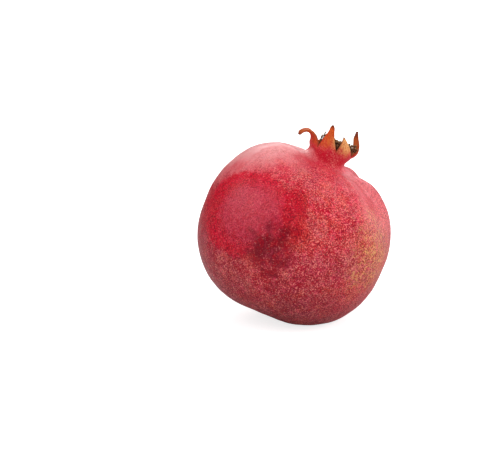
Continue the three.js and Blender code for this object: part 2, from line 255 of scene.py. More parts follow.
@dataclass(frozen=True)
class FruitForm:
    """Outer form of the fruit, in its own frame: w runs from the stem scar to the crown."""

    half_width: float = 47.0
    low_height: float = 42.5
    top_height: float = 39.6
    low_power: float = 2.2
    top_power: float = 2.45
    facet_low: float = 0.012
    facet_mid: float = 0.026
    facet_top: float = 0.05
    shoulder_furrow: float = 1.8
    dimple_depth: float = 4.5
    dimple_reach: float = 8.5
    neck_radius: float = 9.8
    neck_fillet: float = 3.8
    neck_fillet_rise: float = 3.4
    neck_wall: float = 4.8
    ring_flare: float = 1.4
    skirt_reach: float = 7.5
    crown_shift: float = -1.2
    neck_tilt: float = 0.4
    crown_reach: Span = (12.0, 26.0)
    cup_wall: float = 2.1
    cup_floor: float = 36.6
    cup_corner: float = 1.6
    lean_side: float = 23.0
    lean_back: float = 9.0
    flat_depth: float = 2.3
    flat_blend: float = 0.8
    detail: SepalDetail = SepalDetail()

    # Heights w or radii between which each relief grows, the last two as radii from the foot.
    furrow_rise: Span = (4.0, 33.0)
    full_out: Span = (10.0, 40.0)
    full_up: Span = (-25.0, 5.0)
    low_out: Span = (5.0, 25.0)
    low_down: Span = (0.0, -30.0)
    lift_up: Span = (10.0, 34.0)
    furrow_out: Span = (-1.0, 8.0)
    lift_out: Span = (-2.0, 14.0)

    @property
    def ridges(self) -> Array:
        """Azimuth of each ridge and sepal, radians from the front to the right."""
        return np.radians(of_sepals("azimuth"))

    @property
    def notches(self) -> Array:
        """Azimuth of the notch after each sepal."""
        ridges = self.ridges
        return (ridges + np.append(ridges[1:], ridges[0] + TURN)) / 2

    @property
    def foot(self) -> float:
        """Radius where the blend to the neck starts."""
        return self.neck_radius + self.neck_fillet

    def facet(self, azimuth: Array) -> Array:
        """How deep the flank lies below its two ridges: 0.55 sine squared and 0.45 sine to the 1.25."""
        k, share = between(self.ridges, azimuth)
        sine = np.abs(np.sin(np.pi * share))
        return (0.55 * sine**2 + 0.45 * sine**1.25) * of_sepals("facet")[k]

    def profile(self, q: Array) -> tuple[Array, Array]:
        """Plain profile: two half superellipses, a quarter round to the neck, and the neck's wall.

        Args:
            q: 0 to 1 up the body from the stem pole, to 2 through the blend, to 3 up the wall.

        Returns:
            Radius and height w.
        """
        end = np.pi - np.arcsin((self.foot / self.half_width) ** (self.top_power / 2))
        angle = np.clip(q, 0, 1) * end
        below = angle < np.pi / 2
        power = 2 / np.where(below, self.low_power, self.top_power)
        height = np.where(below, -self.low_height, self.top_height)
        rho = self.half_width * np.abs(np.sin(angle)) ** power
        w = height * np.abs(np.cos(angle)) ** power
        foot_height = self.top_height * np.abs(np.cos(end)) ** (2 / self.top_power)
        turned = np.clip(q - 1, 0, 1) * np.pi / 2
        up = np.clip(q - 2, 0, 1)
        flare = self.ring_flare * (up + ease(0, 1, up)) / 2
        neck_rho = self.foot - self.neck_fillet * np.sin(turned) + flare
        neck_w = foot_height + self.neck_fillet_rise * (1 - np.cos(turned)) + self.neck_wall * up
        return np.where(q > 1, neck_rho, rho), np.where(q > 1, neck_w, w)

    def skin(self, q: Array, azimuth: Array) -> Array:
        """Points of the outer skin: the profile turned round, pulled in between the ridges.

        Args:
            q: place along the profile, as in profile.
            azimuth: radians from the front to the right.

        Returns:
            Points with a last axis of x, y, w.
        """
        q, azimuth = np.broadcast_arrays(np.asarray(q, float), np.asarray(azimuth, float))
        rho, w = self.profile(q)
        hollow = self.facet(azimuth)
        depth = self.facet_low + (self.facet_mid - self.facet_low) * ease(-self.low_height, 0, w)
        depth = depth + (self.facet_top - self.facet_mid) * ease(*self.furrow_rise, w)
        depth = depth * np.where(w > 0, ease(*self.furrow_out, rho - self.foot), 1.0)
        ridge = {key: carried(self.ridges, of_sepals(key), azimuth)
                 for key in ("full", "low", "lift", "skirt")}
        grow = 1 + ridge["full"] * ease(*self.full_out, rho) * ease(*self.full_up, w)
        grow = grow + ridge["low"] * ease(*self.low_out, rho) * ease(*self.low_down, w)
        reach = ease(*self.lift_up, w) * ease(*self.lift_out, rho - self.foot)
        w = w + np.where(q < 2, (ridge["lift"] - self.shoulder_furrow * hollow) * reach, 0)
        rho = rho * (1 - depth * hollow) * grow
        dimple = self.dimple_depth * np.exp(-((rho / self.dimple_reach) ** 2))
        w = np.where(w < 0, w * grow + dimple, w)
        up = np.clip(q - 2, 0, 1)
        skirt = np.exp(-(((rho - self.neck_radius) / self.skirt_reach) ** 2)) * (1 - up)
        w = w + ridge["skirt"] * skirt * (w > 0)
        w = w + carried(self.notches, of_sepals("notch"), azimuth) * up
        shift = self.crown_shift * ease(*self.crown_reach[::-1], rho) * (w > 0) + self.neck_tilt * up
        return np.stack([rho * np.sin(azimuth) + shift, -rho * np.cos(azimuth), w], -1)

    def span(self, k: int, u: Array) -> Array:
        """Angle from ridge k to the notch on the side that u points to."""
        before = self.notches[k - 1] - (TURN if k == 0 else 0)
        return np.where(u > 0, self.notches[k] - self.ridges[k], self.ridges[k] - before)

    def middle_line(self, one: Sepal, s: Array) -> tuple[Array, Array, Array]:
        """Middle line of a sepal: running sums of the sine and the cosine of its lean.

        Args:
            one: the sepal.
            s: 0 to 1 from foot to tip.

        Returns:
            Way out, way up and lean in radians at each s, with a last axis of one.
        """
        steps = np.linspace(0, 1, self.detail.steps + 1)
        bend = ease(one.bend_from, one.bend_to, steps)
        lean = np.radians(one.lean_foot + (one.lean_tip - one.lean_foot) * bend)
        step = one.length / self.detail.steps
        out, up = (np.append(0, np.cumsum((way[1:] + way[:-1]) / 2) * step)
                   for way in (np.sin(lean), np.cos(lean)))
        return tuple(np.interp(s, steps, run)[..., None] for run in (out, up, lean))

    def ripples(self, k: int, u: Array, s: Array) -> Array:
        """Relief of sepal k: a wave that grows towards the margins, and cosine veins."""
        one, detail = SEPALS[k], self.detail
        turned = s * detail.wave_turn + detail.wave_apart * k + detail.wave_sides * np.sign(u)
        wave = one.wave * np.abs(u) ** detail.wave_power * np.sin(turned) * ease(0, detail.wave_reach, s)
        vein = detail.vein_height * np.cos(u * detail.vein_turn + k) * ease(*detail.vein_reach, s)
        return wave + vein * (1 - detail.vein_loss * s)

    def thickness(self, one: Sepal, u: Array, s: Array) -> Array:
        """Thickness of a sepal: falls evenly to the tip, and more near the end and the margins."""
        detail = self.detail
        thin = one.thick * (1 - detail.length_thin * s)
        thin = thin * (1 - detail.end_thin * ease(*detail.end_reach, s))
        return thin * (1 - detail.margin_thin * u**detail.margin_power)

    def sepal(self, k: int, u: Array, s: Array) -> tuple[Array, Array]:
        """Outer and inner points of sepal k.

        The middle line is the running sum of its lean. Across it lies a circular arc, which narrows
        partly evenly and partly by a smooth step, ends round and is wavy at its margins; the inner
        face is the outer one moved in by the thickness. Near the foot the points slide onto the
        neck's ring.

        Args:
            k: number of the sepal.
            u: -1 to 1 across, left to right seen from outside.
            s: 0 to 1 from foot to tip.

        Returns:
            Outer and inner points with a last axis of x, y, w.
        """
        one, detail = SEPALS[k], self.detail
        ridge = self.ridges[k]
        u, s = np.broadcast_arrays(np.asarray(u, float), np.asarray(s, float))
        span = self.span(k, u)
        azimuth = ridge + u * span
        ring = self.skin(np.array(3.0), azimuth)
        foot = self.skin(np.array(3.0), np.array(ridge))
        radial = np.array([np.sin(ridge), -np.cos(ridge), 0.0])
        across = np.array([np.cos(ridge), np.sin(ridge), 0.0])
        upward = np.array([0.0, 0.0, 1.0])
        out, up, lean = self.middle_line(one, s)
        inward = -np.cos(lean) * radial + np.sin(lean) * upward
        radius = self.neck_radius + self.ring_flare
        falling = detail.even * np.clip(s / one.narrow, 0, 1)
        falling = falling + (1 - detail.even) * ease(0, one.narrow, s)
        narrow = (1 - (1 - one.tip) * falling) * (1 - detail.round_by * ease(*detail.round_reach, s))
        bow = (1 + one.roll * s) / radius
        angle = (bow * np.abs(u) * span * radius * narrow)[..., None]
        side = np.sign(u)[..., None]
        rooted = (1 - ease(0, detail.root_reach, s))[..., None]
        sag = (1 - np.cos(angle)) / bow[..., None]
        sag_way = inward * (1 - rooted) - radial * rooted
        slide = (one.skew * s**detail.skew_power)[..., None] + side * np.sin(angle) / bow[..., None]
        outer = foot + out * radial + up * upward + slide * across + sag * sag_way
        base_angle = (np.abs(u) * span)[..., None]
        base = foot + side * np.sin(base_angle) * radius * across
        base = base - (1 - np.cos(base_angle)) * radius * radial
        outer = outer + (ring - base) * (1 - ease(0, detail.slide_reach, s))[..., None]
        normal = np.cos(angle) * inward - side * np.sin(angle) * across
        outer = outer + normal * self.ripples(k, u, s)[..., None]
        thickness = self.thickness(one, u, s)[..., None] * (1 - rooted) + self.cup_wall * rooted
        to_axis = np.stack([-np.sin(azimuth), np.cos(azimuth), 0 * u], -1)
        way = normal * (1 - rooted) + to_axis * rooted
        way = way / np.linalg.norm(way, axis=-1, keepdims=True)
        return outer, outer + way * thickness

    def lean(self) -> Array:
        """Turning matrix from the fruit's own frame to the way it lies."""
        side, back = math.radians(self.lean_side), math.radians(self.lean_back)
        to_side = np.array([[math.cos(side), 0, math.sin(side)], [0, 1, 0],
                            [-math.sin(side), 0, math.cos(side)]])
        to_back = np.array([[1, 0, 0], [0, math.cos(back), math.sin(back)],
                            [0, -math.sin(back), math.cos(back)]])
        return to_back @ to_side

    def rest_height(self) -> float:
        """Height of the body's middle over the floor, with its lowest point pressed into it."""
        q = np.linspace(0, 0.5, 161)[:, None]
        azimuth = np.arange(180)[None, :] * TURN / 180
        lowest = (self.skin(q, azimuth) @ self.lean().T)[..., 2].min()
        return -lowest - self.flat_depth

    def leaned(self, points: Array) -> Array:
        """Points of the fruit's own frame as the fruit lies, in millimetres over the floor."""
        return points @ self.lean().T + np.array([0, 0, self.rest_height()])

    def settled(self, points: Array) -> Array:
        """As leaned, with what would sink into the floor pressed flat by a soft corner."""
        placed = self.leaned(points)
        z, b = placed[..., 2], self.flat_blend
        placed[..., 2] = np.where(z < -b, 0, np.where(z < b, (z + b) ** 2 / (4 * b), z))
        return placed


@dataclass
class Shell:
    """Collects grids of points, their marks and the faces between them, for one piece."""

    marks: tuple[str, ...] = ()
    points: list[Array] = field(default_factory=list)
    values: dict[str, list[Array]] = field(default_factory=dict)
    faces: list[Array] = field(default_factory=list)
    count: int = 0

    def add(self, points: Array, **marks: Array | float) -> Array:
        """Adds points of any grid shape.

        Args:
            points: grid of points in millimetres, last axis x, y, z.
            marks: value of each named mark, one number or a grid that fits the points.

        Returns:
            Numbers of the points, in the grid's shape.
        """
        shape = points.shape[:-1]
        size = int(np.prod(shape))
        self.points.append(points.reshape(-1, 3))
        for name in self.marks:
            wide = (3,) if name == "meridian" else ()
            value = np.broadcast_to(np.asarray(marks.get(name, 0.0), float), shape + wide)
            self.values.setdefault(name, []).append(value.reshape((size, *wide)))
        first = self.count
        self.count += size
        return np.arange(first, self.count).reshape(shape)

    def quads(self, lower: Array, upper: Array) -> None:
        """Faces between two rows of numbers, upper above lower seen from outside."""
        corners = (lower[..., :-1], lower[..., 1:], upper[..., 1:], upper[..., :-1])
        self.faces.append(np.stack(corners, -1).reshape(-1, 4))

    def rings(self, rows: Array) -> None:
        """Faces between rows that close on themselves along their last axis, first row lowest."""
        closed = np.concatenate([rows, rows[..., :1]], -1)
        self.quads(closed[..., :-1, :], closed[..., 1:, :])

    def fans(self, rows: Array, tips: Array) -> None:
        """Triangles from each closed row to its tip; the row runs anticlockwise seen from outside."""
        after = np.roll(rows, -1, axis=-1)
        tip = np.broadcast_to(np.asarray(tips)[..., None], rows.shape)
        self.faces.append(np.stack([rows, after, tip], -1).reshape(-1, 3))

    def piece(self, name: str, material: bpy.types.Material) -> bpy.types.Object:
        """Makes the Blender piece, smooth shaded, riding on the fruit's one body.

        Args:
            name: name of the piece.
            material: its finish.

        Returns:
            The new object.
        """
        mesh = bpy.data.meshes.new(name)
        places = np.concatenate(self.points) * METRE
        faces = [row for block in self.faces for row in block.tolist()]
        mesh.from_pydata(places.tolist(), [], faces)
        for key, blocks in self.values.items():
            value = np.concatenate(blocks)
            kind = "FLOAT_VECTOR" if value.ndim == 2 else "FLOAT"
            mark = mesh.attributes.new(key, kind, "POINT")
            mark.data.foreach_set("vector" if value.ndim == 2 else "value", value.ravel())
        mesh.materials.append(material)
        mesh.shade_smooth()
        mesh.set_sharp_from_angle(angle=math.radians(60))
        mesh.update()
        made = bpy.data.objects.new(name, mesh)
        bpy.context.scene.collection.objects.link(made)
        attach(made, "root")
        log.info("%s: %d points, %d faces", name, len(places), len(faces))
        return made


def add_tubes(shell: Shell, middles: Array, radii: Array, sides: int, **marks: Array) -> None:
    """Adds closed tubes: circles of the given radii square to each middle line, ends closed by fans.

    Args:
        shell: shell that takes them.
        middles: middle lines, tubes by rows by 3.
        radii: radius at each row, tubes by rows.
        sides: points in each circle.
        marks: value of each named mark, tubes by rows.
    """
    along = np.gradient(middles, axis=1)
    along /= np.linalg.norm(along, axis=-1, keepdims=True)
    first = np.cross(np.array([1.0, 0.0, 0.0]), along)
    first /= np.linalg.norm(first, axis=-1, keepdims=True)
    second = np.cross(along, first)
    angle = np.arange(sides) * TURN / sides
    circle = np.cos(angle)[:, None] * first[..., None, :]
    circle = circle + np.sin(angle)[:, None] * second[..., None, :]
    points = middles[..., None, :] + circle * radii[..., None, None]
    wide = {key: np.broadcast_to(value[..., None], points.shape[:-1]) for key, value in marks.items()}
    rows = shell.add(points, **wide)
    shell.rings(rows)
    ends = {key: (value[:, 0], value[:, -1]) for key, value in marks.items()}
    low = shell.add(middles[:, 0], **{key: pair[0] for key, pair in ends.items()})
    high = shell.add(middles[:, -1], **{key: pair[1] for key, pair in ends.items()})
    shell.fans(rows[:, 0, ::-1], low)
    shell.fans(rows[:, -1], high)


@dataclass(frozen=True)
class Cloud:
    """Soft patches: a noise of so many cells a metre, and the values between which it fades in."""

    scale: float
    detail: float
    roughness: float
    low: float
    high: float


class Sheet:
    """Places nodes in a material's or a group's tree and joins them."""

    def __init__(self, tree: bpy.types.NodeTree) -> None:
        """Starts with an empty tree.

        Args:
            tree: tree to fill.
        """
        self.tree = tree
        tree.nodes.clear()

    def node(self, kind: str, inputs: dict | None = None, **settings: object) -> bpy.types.Node:
        """Adds a node.

        Args:
            kind: type name, such as ShaderNodeMath.
            inputs: socket name or number to a value or to the socket that feeds it.
            settings: properties of the node.

        Returns:
            The node.
        """
        made = self.tree.nodes.new(kind)
        made.location = (len(self.tree.nodes) % 12 * 190, -(len(self.tree.nodes) // 12) * 260)
        for key, value in settings.items():
            setattr(made, key, value)
        self.feed(made, inputs or {})
        return made

    def feed(self, made: bpy.types.Node, inputs: dict) -> None:
        """Links sockets to a node's inputs, or sets their values."""
        for key, value in inputs.items():
            if isinstance(value, Socket):
                self.tree.links.new(value, made.inputs[key])
            else:
                made.inputs[key].default_value = value

    def math(self, operation: str, *values: object) -> Socket:
        """Result of a Math node on one to three values or sockets."""
        return self.node("ShaderNodeMath", dict(enumerate(values)), operation=operation).outputs[0]

    def times(self, *values: object) -> Socket:
        """Product of two or more values or sockets."""
        return reduce(lambda product, value: self.math("MULTIPLY", product, value), values)

    def fused(self, value: object, factor: object, offset: object) -> Socket:
        """Value times factor, plus offset."""
        return self.math("MULTIPLY_ADD", value, factor, offset)

    def step(self, value: object, low: float, high: float, start: float = 0.0,
             end: float = 1.0) -> Socket:
        """Smooth step of a socket from start to end as it goes from low to high."""
        inputs = {"Value": value, "From Min": low, "From Max": high, "To Min": start, "To Max": end}
        made = self.node("ShaderNodeMapRange", inputs, interpolation_type="SMOOTHSTEP")
        return made.outputs["Result"]

    def blend(self, factor: object, below: object, above: object) -> Socket:
        """Colour that goes from below to above as factor goes from 0 to 1."""
        made = self.node("ShaderNodeMix", data_type="RGBA")
        for name, value in (("Factor_Float", factor), ("A_Color", below), ("B_Color", above)):
            socket = next(s for s in made.inputs if s.identifier == name)
            if isinstance(value, Socket):
                self.tree.links.new(value, socket)
            else:
                socket.default_value = value
        return next(s for s in made.outputs if s.identifier == "Result_Color")

    def coat(self, colour: Socket, mask: Socket, tint: Colour, share: float = 1.0) -> Socket:
        """Colour covered by a tint where the mask is 1, up to the given share."""
        cover = mask if share == 1.0 else self.times(mask, share)
        return self.blend(cover, colour, paint(*tint))

    def noise(self, place: object, scale: float, detail: float = 3.0,
              roughness: float = 0.5, distortion: float = 0.0) -> Socket:
        """Noise value from 0 to 1 at a place in metres, scale in cells a metre."""
        inputs = {"Vector": place, "Scale": scale, "Detail": detail, "Roughness": roughness,
                  "Distortion": distortion}
        return self.node("ShaderNodeTexNoise", inputs).outputs[0]

    def cloud(self, place: object, cloud: Cloud, start: float = 0.0, end: float = 1.0) -> Socket:
        """Soft patches at a place, from start outside them to end inside."""
        value = self.noise(place, cloud.scale, cloud.detail, cloud.roughness)
        return self.step(value, cloud.low, cloud.high, start, end)

    def place(self) -> Socket:
        """Object coordinates, in metres."""
        return self.node("ShaderNodeTexCoord").outputs["Object"]

    def mark(self, name: str) -> Socket:
        """A named mark of the mesh."""
        made = self.node("ShaderNodeAttribute", attribute_name=name, attribute_type="GEOMETRY")
        return made.outputs["Vector" if name == "meridian" else "Fac"]

    def group(self, tree: bpy.types.NodeTree, inputs: dict) -> Socket:
        """First output of a placed group."""
        made = self.node("ShaderNodeGroup", node_tree=tree)
        self.feed(made, inputs)
        return made.outputs[0]


def new_group(name: str, inputs: dict[str, tuple[str, object]], output: str) -> tuple[
        bpy.types.NodeTree, Sheet, bpy.types.Node]:
    """Empty shader group with named sockets.

    Args:
        name: name of the group.
        inputs: socket name to its kind, Vector or Float, and its usual value.
        output: name of the one output, a mask.

    Returns:
        The group, a sheet on it, and its input node.
    """
    tree = bpy.data.node_groups.new(name, "ShaderNodeTree")
    for key, (kind, value) in inputs.items():
        socket = tree.interface.new_socket(key, in_out="INPUT", socket_type=f"NodeSocket{kind}")
        socket.default_value = value
    tree.interface.new_socket(output, in_out="OUTPUT", socket_type="NodeSocketFloat")
    sheet = Sheet(tree)
    return tree, sheet, sheet.node("NodeGroupInput")


def make_zone_group() -> bpy.types.NodeTree:
    """Soft zone: 1 near a centre, falling to 0 at its edge, which wanders with noise."""
    tree, sheet, source = new_group("Soft zone", {
        "Place": ("Vector", (0, 0, 0)), "Centre": ("Vector", (0, 0, 0)),
        "Squeeze": ("Vector", (1, 1, 1)), "Core": ("Float", 0.01), "Edge": ("Float", 0.03),
        "Ragged": ("Float", 0.01), "Grain": ("Float", 90.0)}, "Mask")
    aside = sheet.node("ShaderNodeVectorMath", {0: source.outputs["Place"], 1: source.outputs["Centre"]},
                       operation="SUBTRACT").outputs[0]
    aside = sheet.node("ShaderNodeVectorMath", {0: aside, 1: source.outputs["Squeeze"]},
                       operation="MULTIPLY").outputs[0]
    away = sheet.node("ShaderNodeVectorMath", {0: aside}, operation="LENGTH").outputs["Value"]
    wander = sheet.noise(source.outputs["Place"], source.outputs["Grain"], 5.0, 0.6)
    shift = sheet.times(sheet.math("SUBTRACT", wander, 0.5), source.outputs["Ragged"])
    reach = sheet.fused(shift, 2.0, away)
    mask = sheet.step(reach, source.outputs["Edge"], source.outputs["Core"])
    sheet.node("NodeGroupOutput", {"Mask": mask})
    return tree


def make_dots_group() -> bpy.types.NodeTree:
    """Fine dots: round spots in the share of a cell pattern's cells whose random number is low."""
    tree, sheet, source = new_group("Fine dots", {
        "Place": ("Vector", (0, 0, 0)), "Scale": ("Float", 900.0), "Share": ("Float", 0.4),
        "Size": ("Float", 0.4)}, "Mask")
    cells = sheet.node("ShaderNodeTexVoronoi", {
        "Vector": source.outputs["Place"], "Scale": source.outputs["Scale"], "Randomness": 1.0})
    number = sheet.node("ShaderNodeSeparateColor", {0: cells.outputs["Color"]}).outputs[0]
    chosen = sheet.math("LESS_THAN", number, source.outputs["Share"])
    soft = sheet.step(cells.outputs["Distance"], source.outputs["Size"], 0.08)
    sheet.node("NodeGroupOutput", {"Mask": sheet.times(chosen, soft)})
    return tree


def make_streaks_group() -> bpy.types.NodeTree:
    """Meridian streaks: noise drawn out from stem to crown, as the rind's fibres run."""
    tree, sheet, source = new_group("Meridian streaks", {
        "Meridian": ("Vector", (0, 0, 0)), "Fineness": ("Float", 900.0), "Drawn": ("Float", 0.12),
        "Low": ("Float", 0.45), "High": ("Float", 0.7)}, "Mask")
    drawn = sheet.node("ShaderNodeCombineXYZ", {0: 1.0, 1: 1.0, 2: source.outputs["Drawn"]})
    place = sheet.node("ShaderNodeVectorMath", {0: source.outputs["Meridian"], 1: drawn.outputs[0]},
                       operation="MULTIPLY").outputs[0]
    grain = sheet.noise(place, source.outputs["Fineness"], 4.0, 0.65)
    mask = sheet.step(grain, source.outputs["Low"], source.outputs["High"])
    sheet.node("NodeGroupOutput", {"Mask": mask})
    return tree


def make_scribble_group() -> bpy.types.NodeTree:
    """Scribble: thin winding lines where a noise passes through its middle value."""
    tree, sheet, source = new_group("Scribble", {
        "Place": ("Vector", (0, 0, 0)), "Scale": ("Float", 600.0), "Width": ("Float", 0.03)}, "Mask")
    grain = sheet.noise(source.outputs["Place"], source.outputs["Scale"], 2.0, 0.5, 0.6)
    away = sheet.math("ABSOLUTE", sheet.math("SUBTRACT", grain, 0.5))
    sheet.node("NodeGroupOutput", {"Mask": sheet.step(away, source.outputs["Width"], 0.0)})
    return tree


@dataclass(frozen=True)
class Zone:
    """An area of the rind: where its middle lies, how far it reaches and how strong it is.

    Lengths are millimetres. The edge wanders by ragged, with a noise of grain cells a metre. Squeeze
    multiplies the distance from the middle along each axis, so above 1 makes the zone narrower.
    """

    centre: Triple
    core: float
    edge: float
    ragged: float
    grain: float
    strength: float
    squeeze: Triple = (1.0, 1.0, 1.0)


@dataclass(frozen=True)
class Fibres:
    """Streaks along the meridians: fineness, how far drawn out, and the values that fade them in."""

    fineness: float
    drawn: float
    low: float
    high: float


@dataclass(frozen=True)
class Wash:
    """A thin colour in soft patches, left out where the rind is calm or plain."""

    cloud: Cloud
    colour: Colour
    share: float


@dataclass
class Effects:
    """The shader groups that the finishes share."""

    zone: bpy.types.NodeTree = field(default_factory=make_zone_group)
    dots: bpy.types.NodeTree = field(default_factory=make_dots_group)
    streaks: bpy.types.NodeTree = field(default_factory=make_streaks_group)
    scribble: bpy.types.NodeTree = field(default_factory=make_scribble_group)


FLAT_FLANK: Triple = (0.85, 0.85, 1.1)


@dataclass(frozen=True)
class RindFinish:
    """Leathery rind: crimson, mottled, freckled with pale corky dots, orange on the sepals, with painted
    sheen and shade in places.
    """

    ground: Colour = (208, 2, 46)
    light: Colour = (222, 22, 62)
    deep: Colour = (126, 0, 28)
    flush: Colour = (244, 78, 104)
    crimson: Colour = (190, 0, 30)
    streak: Colour = (250, 176, 178)
    freckle: Colour = (250, 146, 136)
    neck: Colour = (206, 8, 44)
    orange: Colour = (226, 84, 16)
    straw: Colour = (252, 188, 116)
    ember: Colour = (196, 40, 20)
    husk: Colour = (126, 50, 28)
    lining: Colour = (206, 98, 48)

    # Tinted zones, the later over the earlier: the rind's own colours, with painted light and shade where
    # marked.
    tints_and_painted_light: tuple[tuple[Colour, Zone], ...] = (
        ((190, 0, 30), Zone((1, -44, 55), 4, 12, 10, 130, 0.60)),
        # Partly painted sheen: the pale pink over the top is partly the rind's own paler colour, partly
        # the sheen of light from above and behind.
        ((250, 176, 176), Zone((-16, 8, 88), 17, 40, 12, 70, 0.88)),
        ((196, 0, 40), Zone((-42, -10, 54), 8, 32, 16, 90, 0.75)),
        # Partly painted sheen: the paler pink of the right flank is partly the rind's own paler side,
        # partly light falling from the right.
        ((246, 104, 116), Zone((42, -6, 60), 12, 34, 12, 70, 0.72)),
        ((216, 140, 90), Zone((37, -26, 36), 6, 26, 18, 110, 0.55)),
        # Painted shade: darker on the underside, where the fruit rests on the floor.
        ((120, 6, 44), Zone((-4, -20, 2), 14, 42, 14, 70, 0.65)),
        # Painted shadow: darker low on the left flank, as if shaded by a piece lying beside the fruit.
        ((130, 6, 46), Zone((-40, -22, 30), 10, 34, 12, 70, 0.55)),
        # Painted shade: darker low on the front, where the rind faces down to the floor.
        ((150, 4, 48), Zone((4, -44, 26), 6, 26, 14, 90, 0.55)),
        ((218, 0, 44), Zone((-25, -32, 60.5), 20.5, 23, 4, 520, 0.97, FLAT_FLANK)),
        # Painted reflection: a dull greyish pink patch in the middle of the left front flank stands for
        # the left softbox seen in the rind.
        ((204, 58, 80), Zone((-21.5, -36, 61), 11, 19, 4, 420, 0.85, (0.85, 0.85, 1.0))),
        ((202, 0, 36), Zone((0.5, -42, 60), 9.5, 10.5, 2.5, 520, 0.97, (1.6, 0.6, 0.66))),
        # Painted shadow: a dark ragged patch low on the front left, the shade of a piece lying beside the
        # fruit.
        ((90, 0, 20), Zone((-12, -46, 46), 4, 17, 18, 170, 0.84)),
        ((146, 30, 66), Zone((24, -36, 38), 3, 13, 14, 160, 0.60)),
        ((198, 4, 44), Zone((11, -13, 85), 6, 15, 8, 220, 0.70)),
        # Partly painted sheen: a brighter pink patch high on the right shoulder, partly the rind's own
        # colour, partly the sheen of light from behind.
        ((246, 132, 142), Zone((28, 10, 80), 7, 15, 5, 120, 0.75)),
        ((204, 16, 50), Zone((38, -17, 63), 1.5, 7, 3, 260, 0.62, (1.5, 0.6, 0.36))),
        ((232, 80, 56), Zone((6, -44, 50), 3, 14, 14, 150, 0.30)),
    )
    # Smooth skin: no freckles, no dark grain and hardly any clouds.
    calm: tuple[Zone, ...] = (
        Zone((-16, 6, 88), 18, 44, 14, 110, 0.92),
        Zone((28, 8, 80), 8, 18, 6, 120, 0.90),
        Zone((32, -12, 74), 6, 26, 12, 110, 0.50),
        Zone((-20.5, -36, 62.5), 11, 18, 3.5, 420, 0.42, FLAT_FLANK),
    )
    # Plain red skin: dark grain, but few freckles and no washes.
    plain: tuple[Zone, ...] = (
        Zone((-25, -32, 60.5), 20, 25, 5, 420, 0.80, FLAT_FLANK),
        Zone((0, -42, 61), 7.5, 12, 5, 420, 0.80, (1.6, 0.6, 0.75)),
        # Kept free of freckles under the painted shadow low on the front left.
        Zone((-12, -46, 46), 6, 18, 12, 170, 0.70),
        Zone((-42, -10, 54), 6, 34, 16, 110, 0.60),
    )
    russet: tuple[Zone, ...] = (
        Zone((38, -24, 40), 5, 24, 22, 130, 0.85),
        Zone((30, -34, 30), 2, 11, 10, 160, 0.60),
    )
    ripened: tuple[Zone, ...] = (Zone((24.5, -4, 88), 4.5, 9, 2, 300, 1.0),)
    veined: tuple[Zone, ...] = (
        Zone((30, -12, 74), 9, 20, 8, 80, 0.75),
        Zone((-16, 8, 88), 20, 36, 8, 60, 0.16),
    )
    drawn: tuple[Zone, ...] = (
        Zone((-16, 8, 88), 20, 36, 8, 60, 0.26),
        Zone((30, -12, 72), 10, 26, 8, 60, 0.32),
    )

    mottle: Cloud = Cloud(70, 4.0, 0.55, 0.35, 0.7)
    washes: tuple[Wash, ...] = (
        Wash(Cloud(83, 3.0, 0.55, 0.5, 0.64), (170, 26, 66), 0.55),
        Wash(Cloud(131, 3.0, 0.55, 0.52, 0.66), (232, 92, 70), 0.5),
    )
    flush_clouds: Cloud = Cloud(330, 3.0, 0.65, 0.5, 0.68)
    crimson_clouds: Cloud = Cloud(330, 3.0, 0.65, 0.52, 0.38)
    freckle_patches: Cloud = Cloud(170, 3.0, 0.6, 0.38, 0.62)
    embers: Cloud = Cloud(900, 3.0, 0.7, 0.5, 0.62)
    sheen: Cloud = Cloud(420, 4.0, 0.6, 0.3, 0.7)
    streaks: Fibres = Fibres(620, 0.13, 0.45, 0.7)
    veins: Fibres = Fibres(300, 0.06, 0.48, 0.6)
    petal_fibres: Fibres = Fibres(1500, 0.10, 0.35, 0.72)

    # Values of the grain between which it turns into something else.
    grain_scale: float = 1480
    deep_grain: Span = (0.47, 0.39)
    ember_grain: Span = (0.5, 0.4)
    raised_grain: Span = (0.63, 0.70)
    # Cover of a layer: what lively or flecked skin adds, and what is there everywhere.
    flush_cover: Span = (0.55, 0.05)
    crimson_cover: Span = (0.5, 0.12)
    deep_cover: Span = (0.86, 0.02)
    raised_cover: Span = (0.65, 0.25)
    neck_cover: float = 0.9
    freckle_cover: float = 0.9
    fibre_pallor: float = 0.35
    ember_cloud_cover: float = 0.55
    ember_grain_cover: float = 0.45
    rim_cover: float = 0.6

    # Scribbles: cells a metre and width of the line in the noise.
    freckle_lines: Span = (1150.0, 0.035)
    worn_lines: Span = (380.0, 0.05)
    crack_lines: Span = (520.0, 0.022)
    # Dots: cells a metre, share of the cells with a dot, and its size in the cell.
    dot_scale: float = 1500.0
    dot_share: float = 0.6
    dot_size: float = 0.5
    line_strength: float = 0.8
    patch_least: float = 0.3
    flecked_grain: float = 0.04

    # Places along the mark crown: 0 at the neck's foot, 1 at the sepals' feet, 2 at their tips.
    neck_starts: Span = (0.1, 0.75)
    petal_starts: Span = (1.0, 1.65)
    rim_starts: Span = (1.02, 1.3)
    tip_starts: Span = (1.7, 2.05)
    lining_starts: Span = (1.0, 1.5)
    dull_starts: Span = (0.8, 1.3)
    margin_starts: Span = (0.84, 1.0)
    parched_starts: Span = (0.85, 1.5)
    # Lining's share over the husk from the sepals' feet up: the brown near the feet and in the cup is
    # partly painted shade.
    lining_shares_and_shade: Span = (0.1, 0.6)
    fibre_shift: float = 0.22
    uneven_scale: float = 240
    uneven_shift: float = 0.9
    parched_fibre: float = 0.25
    lining_fibre: float = 0.5

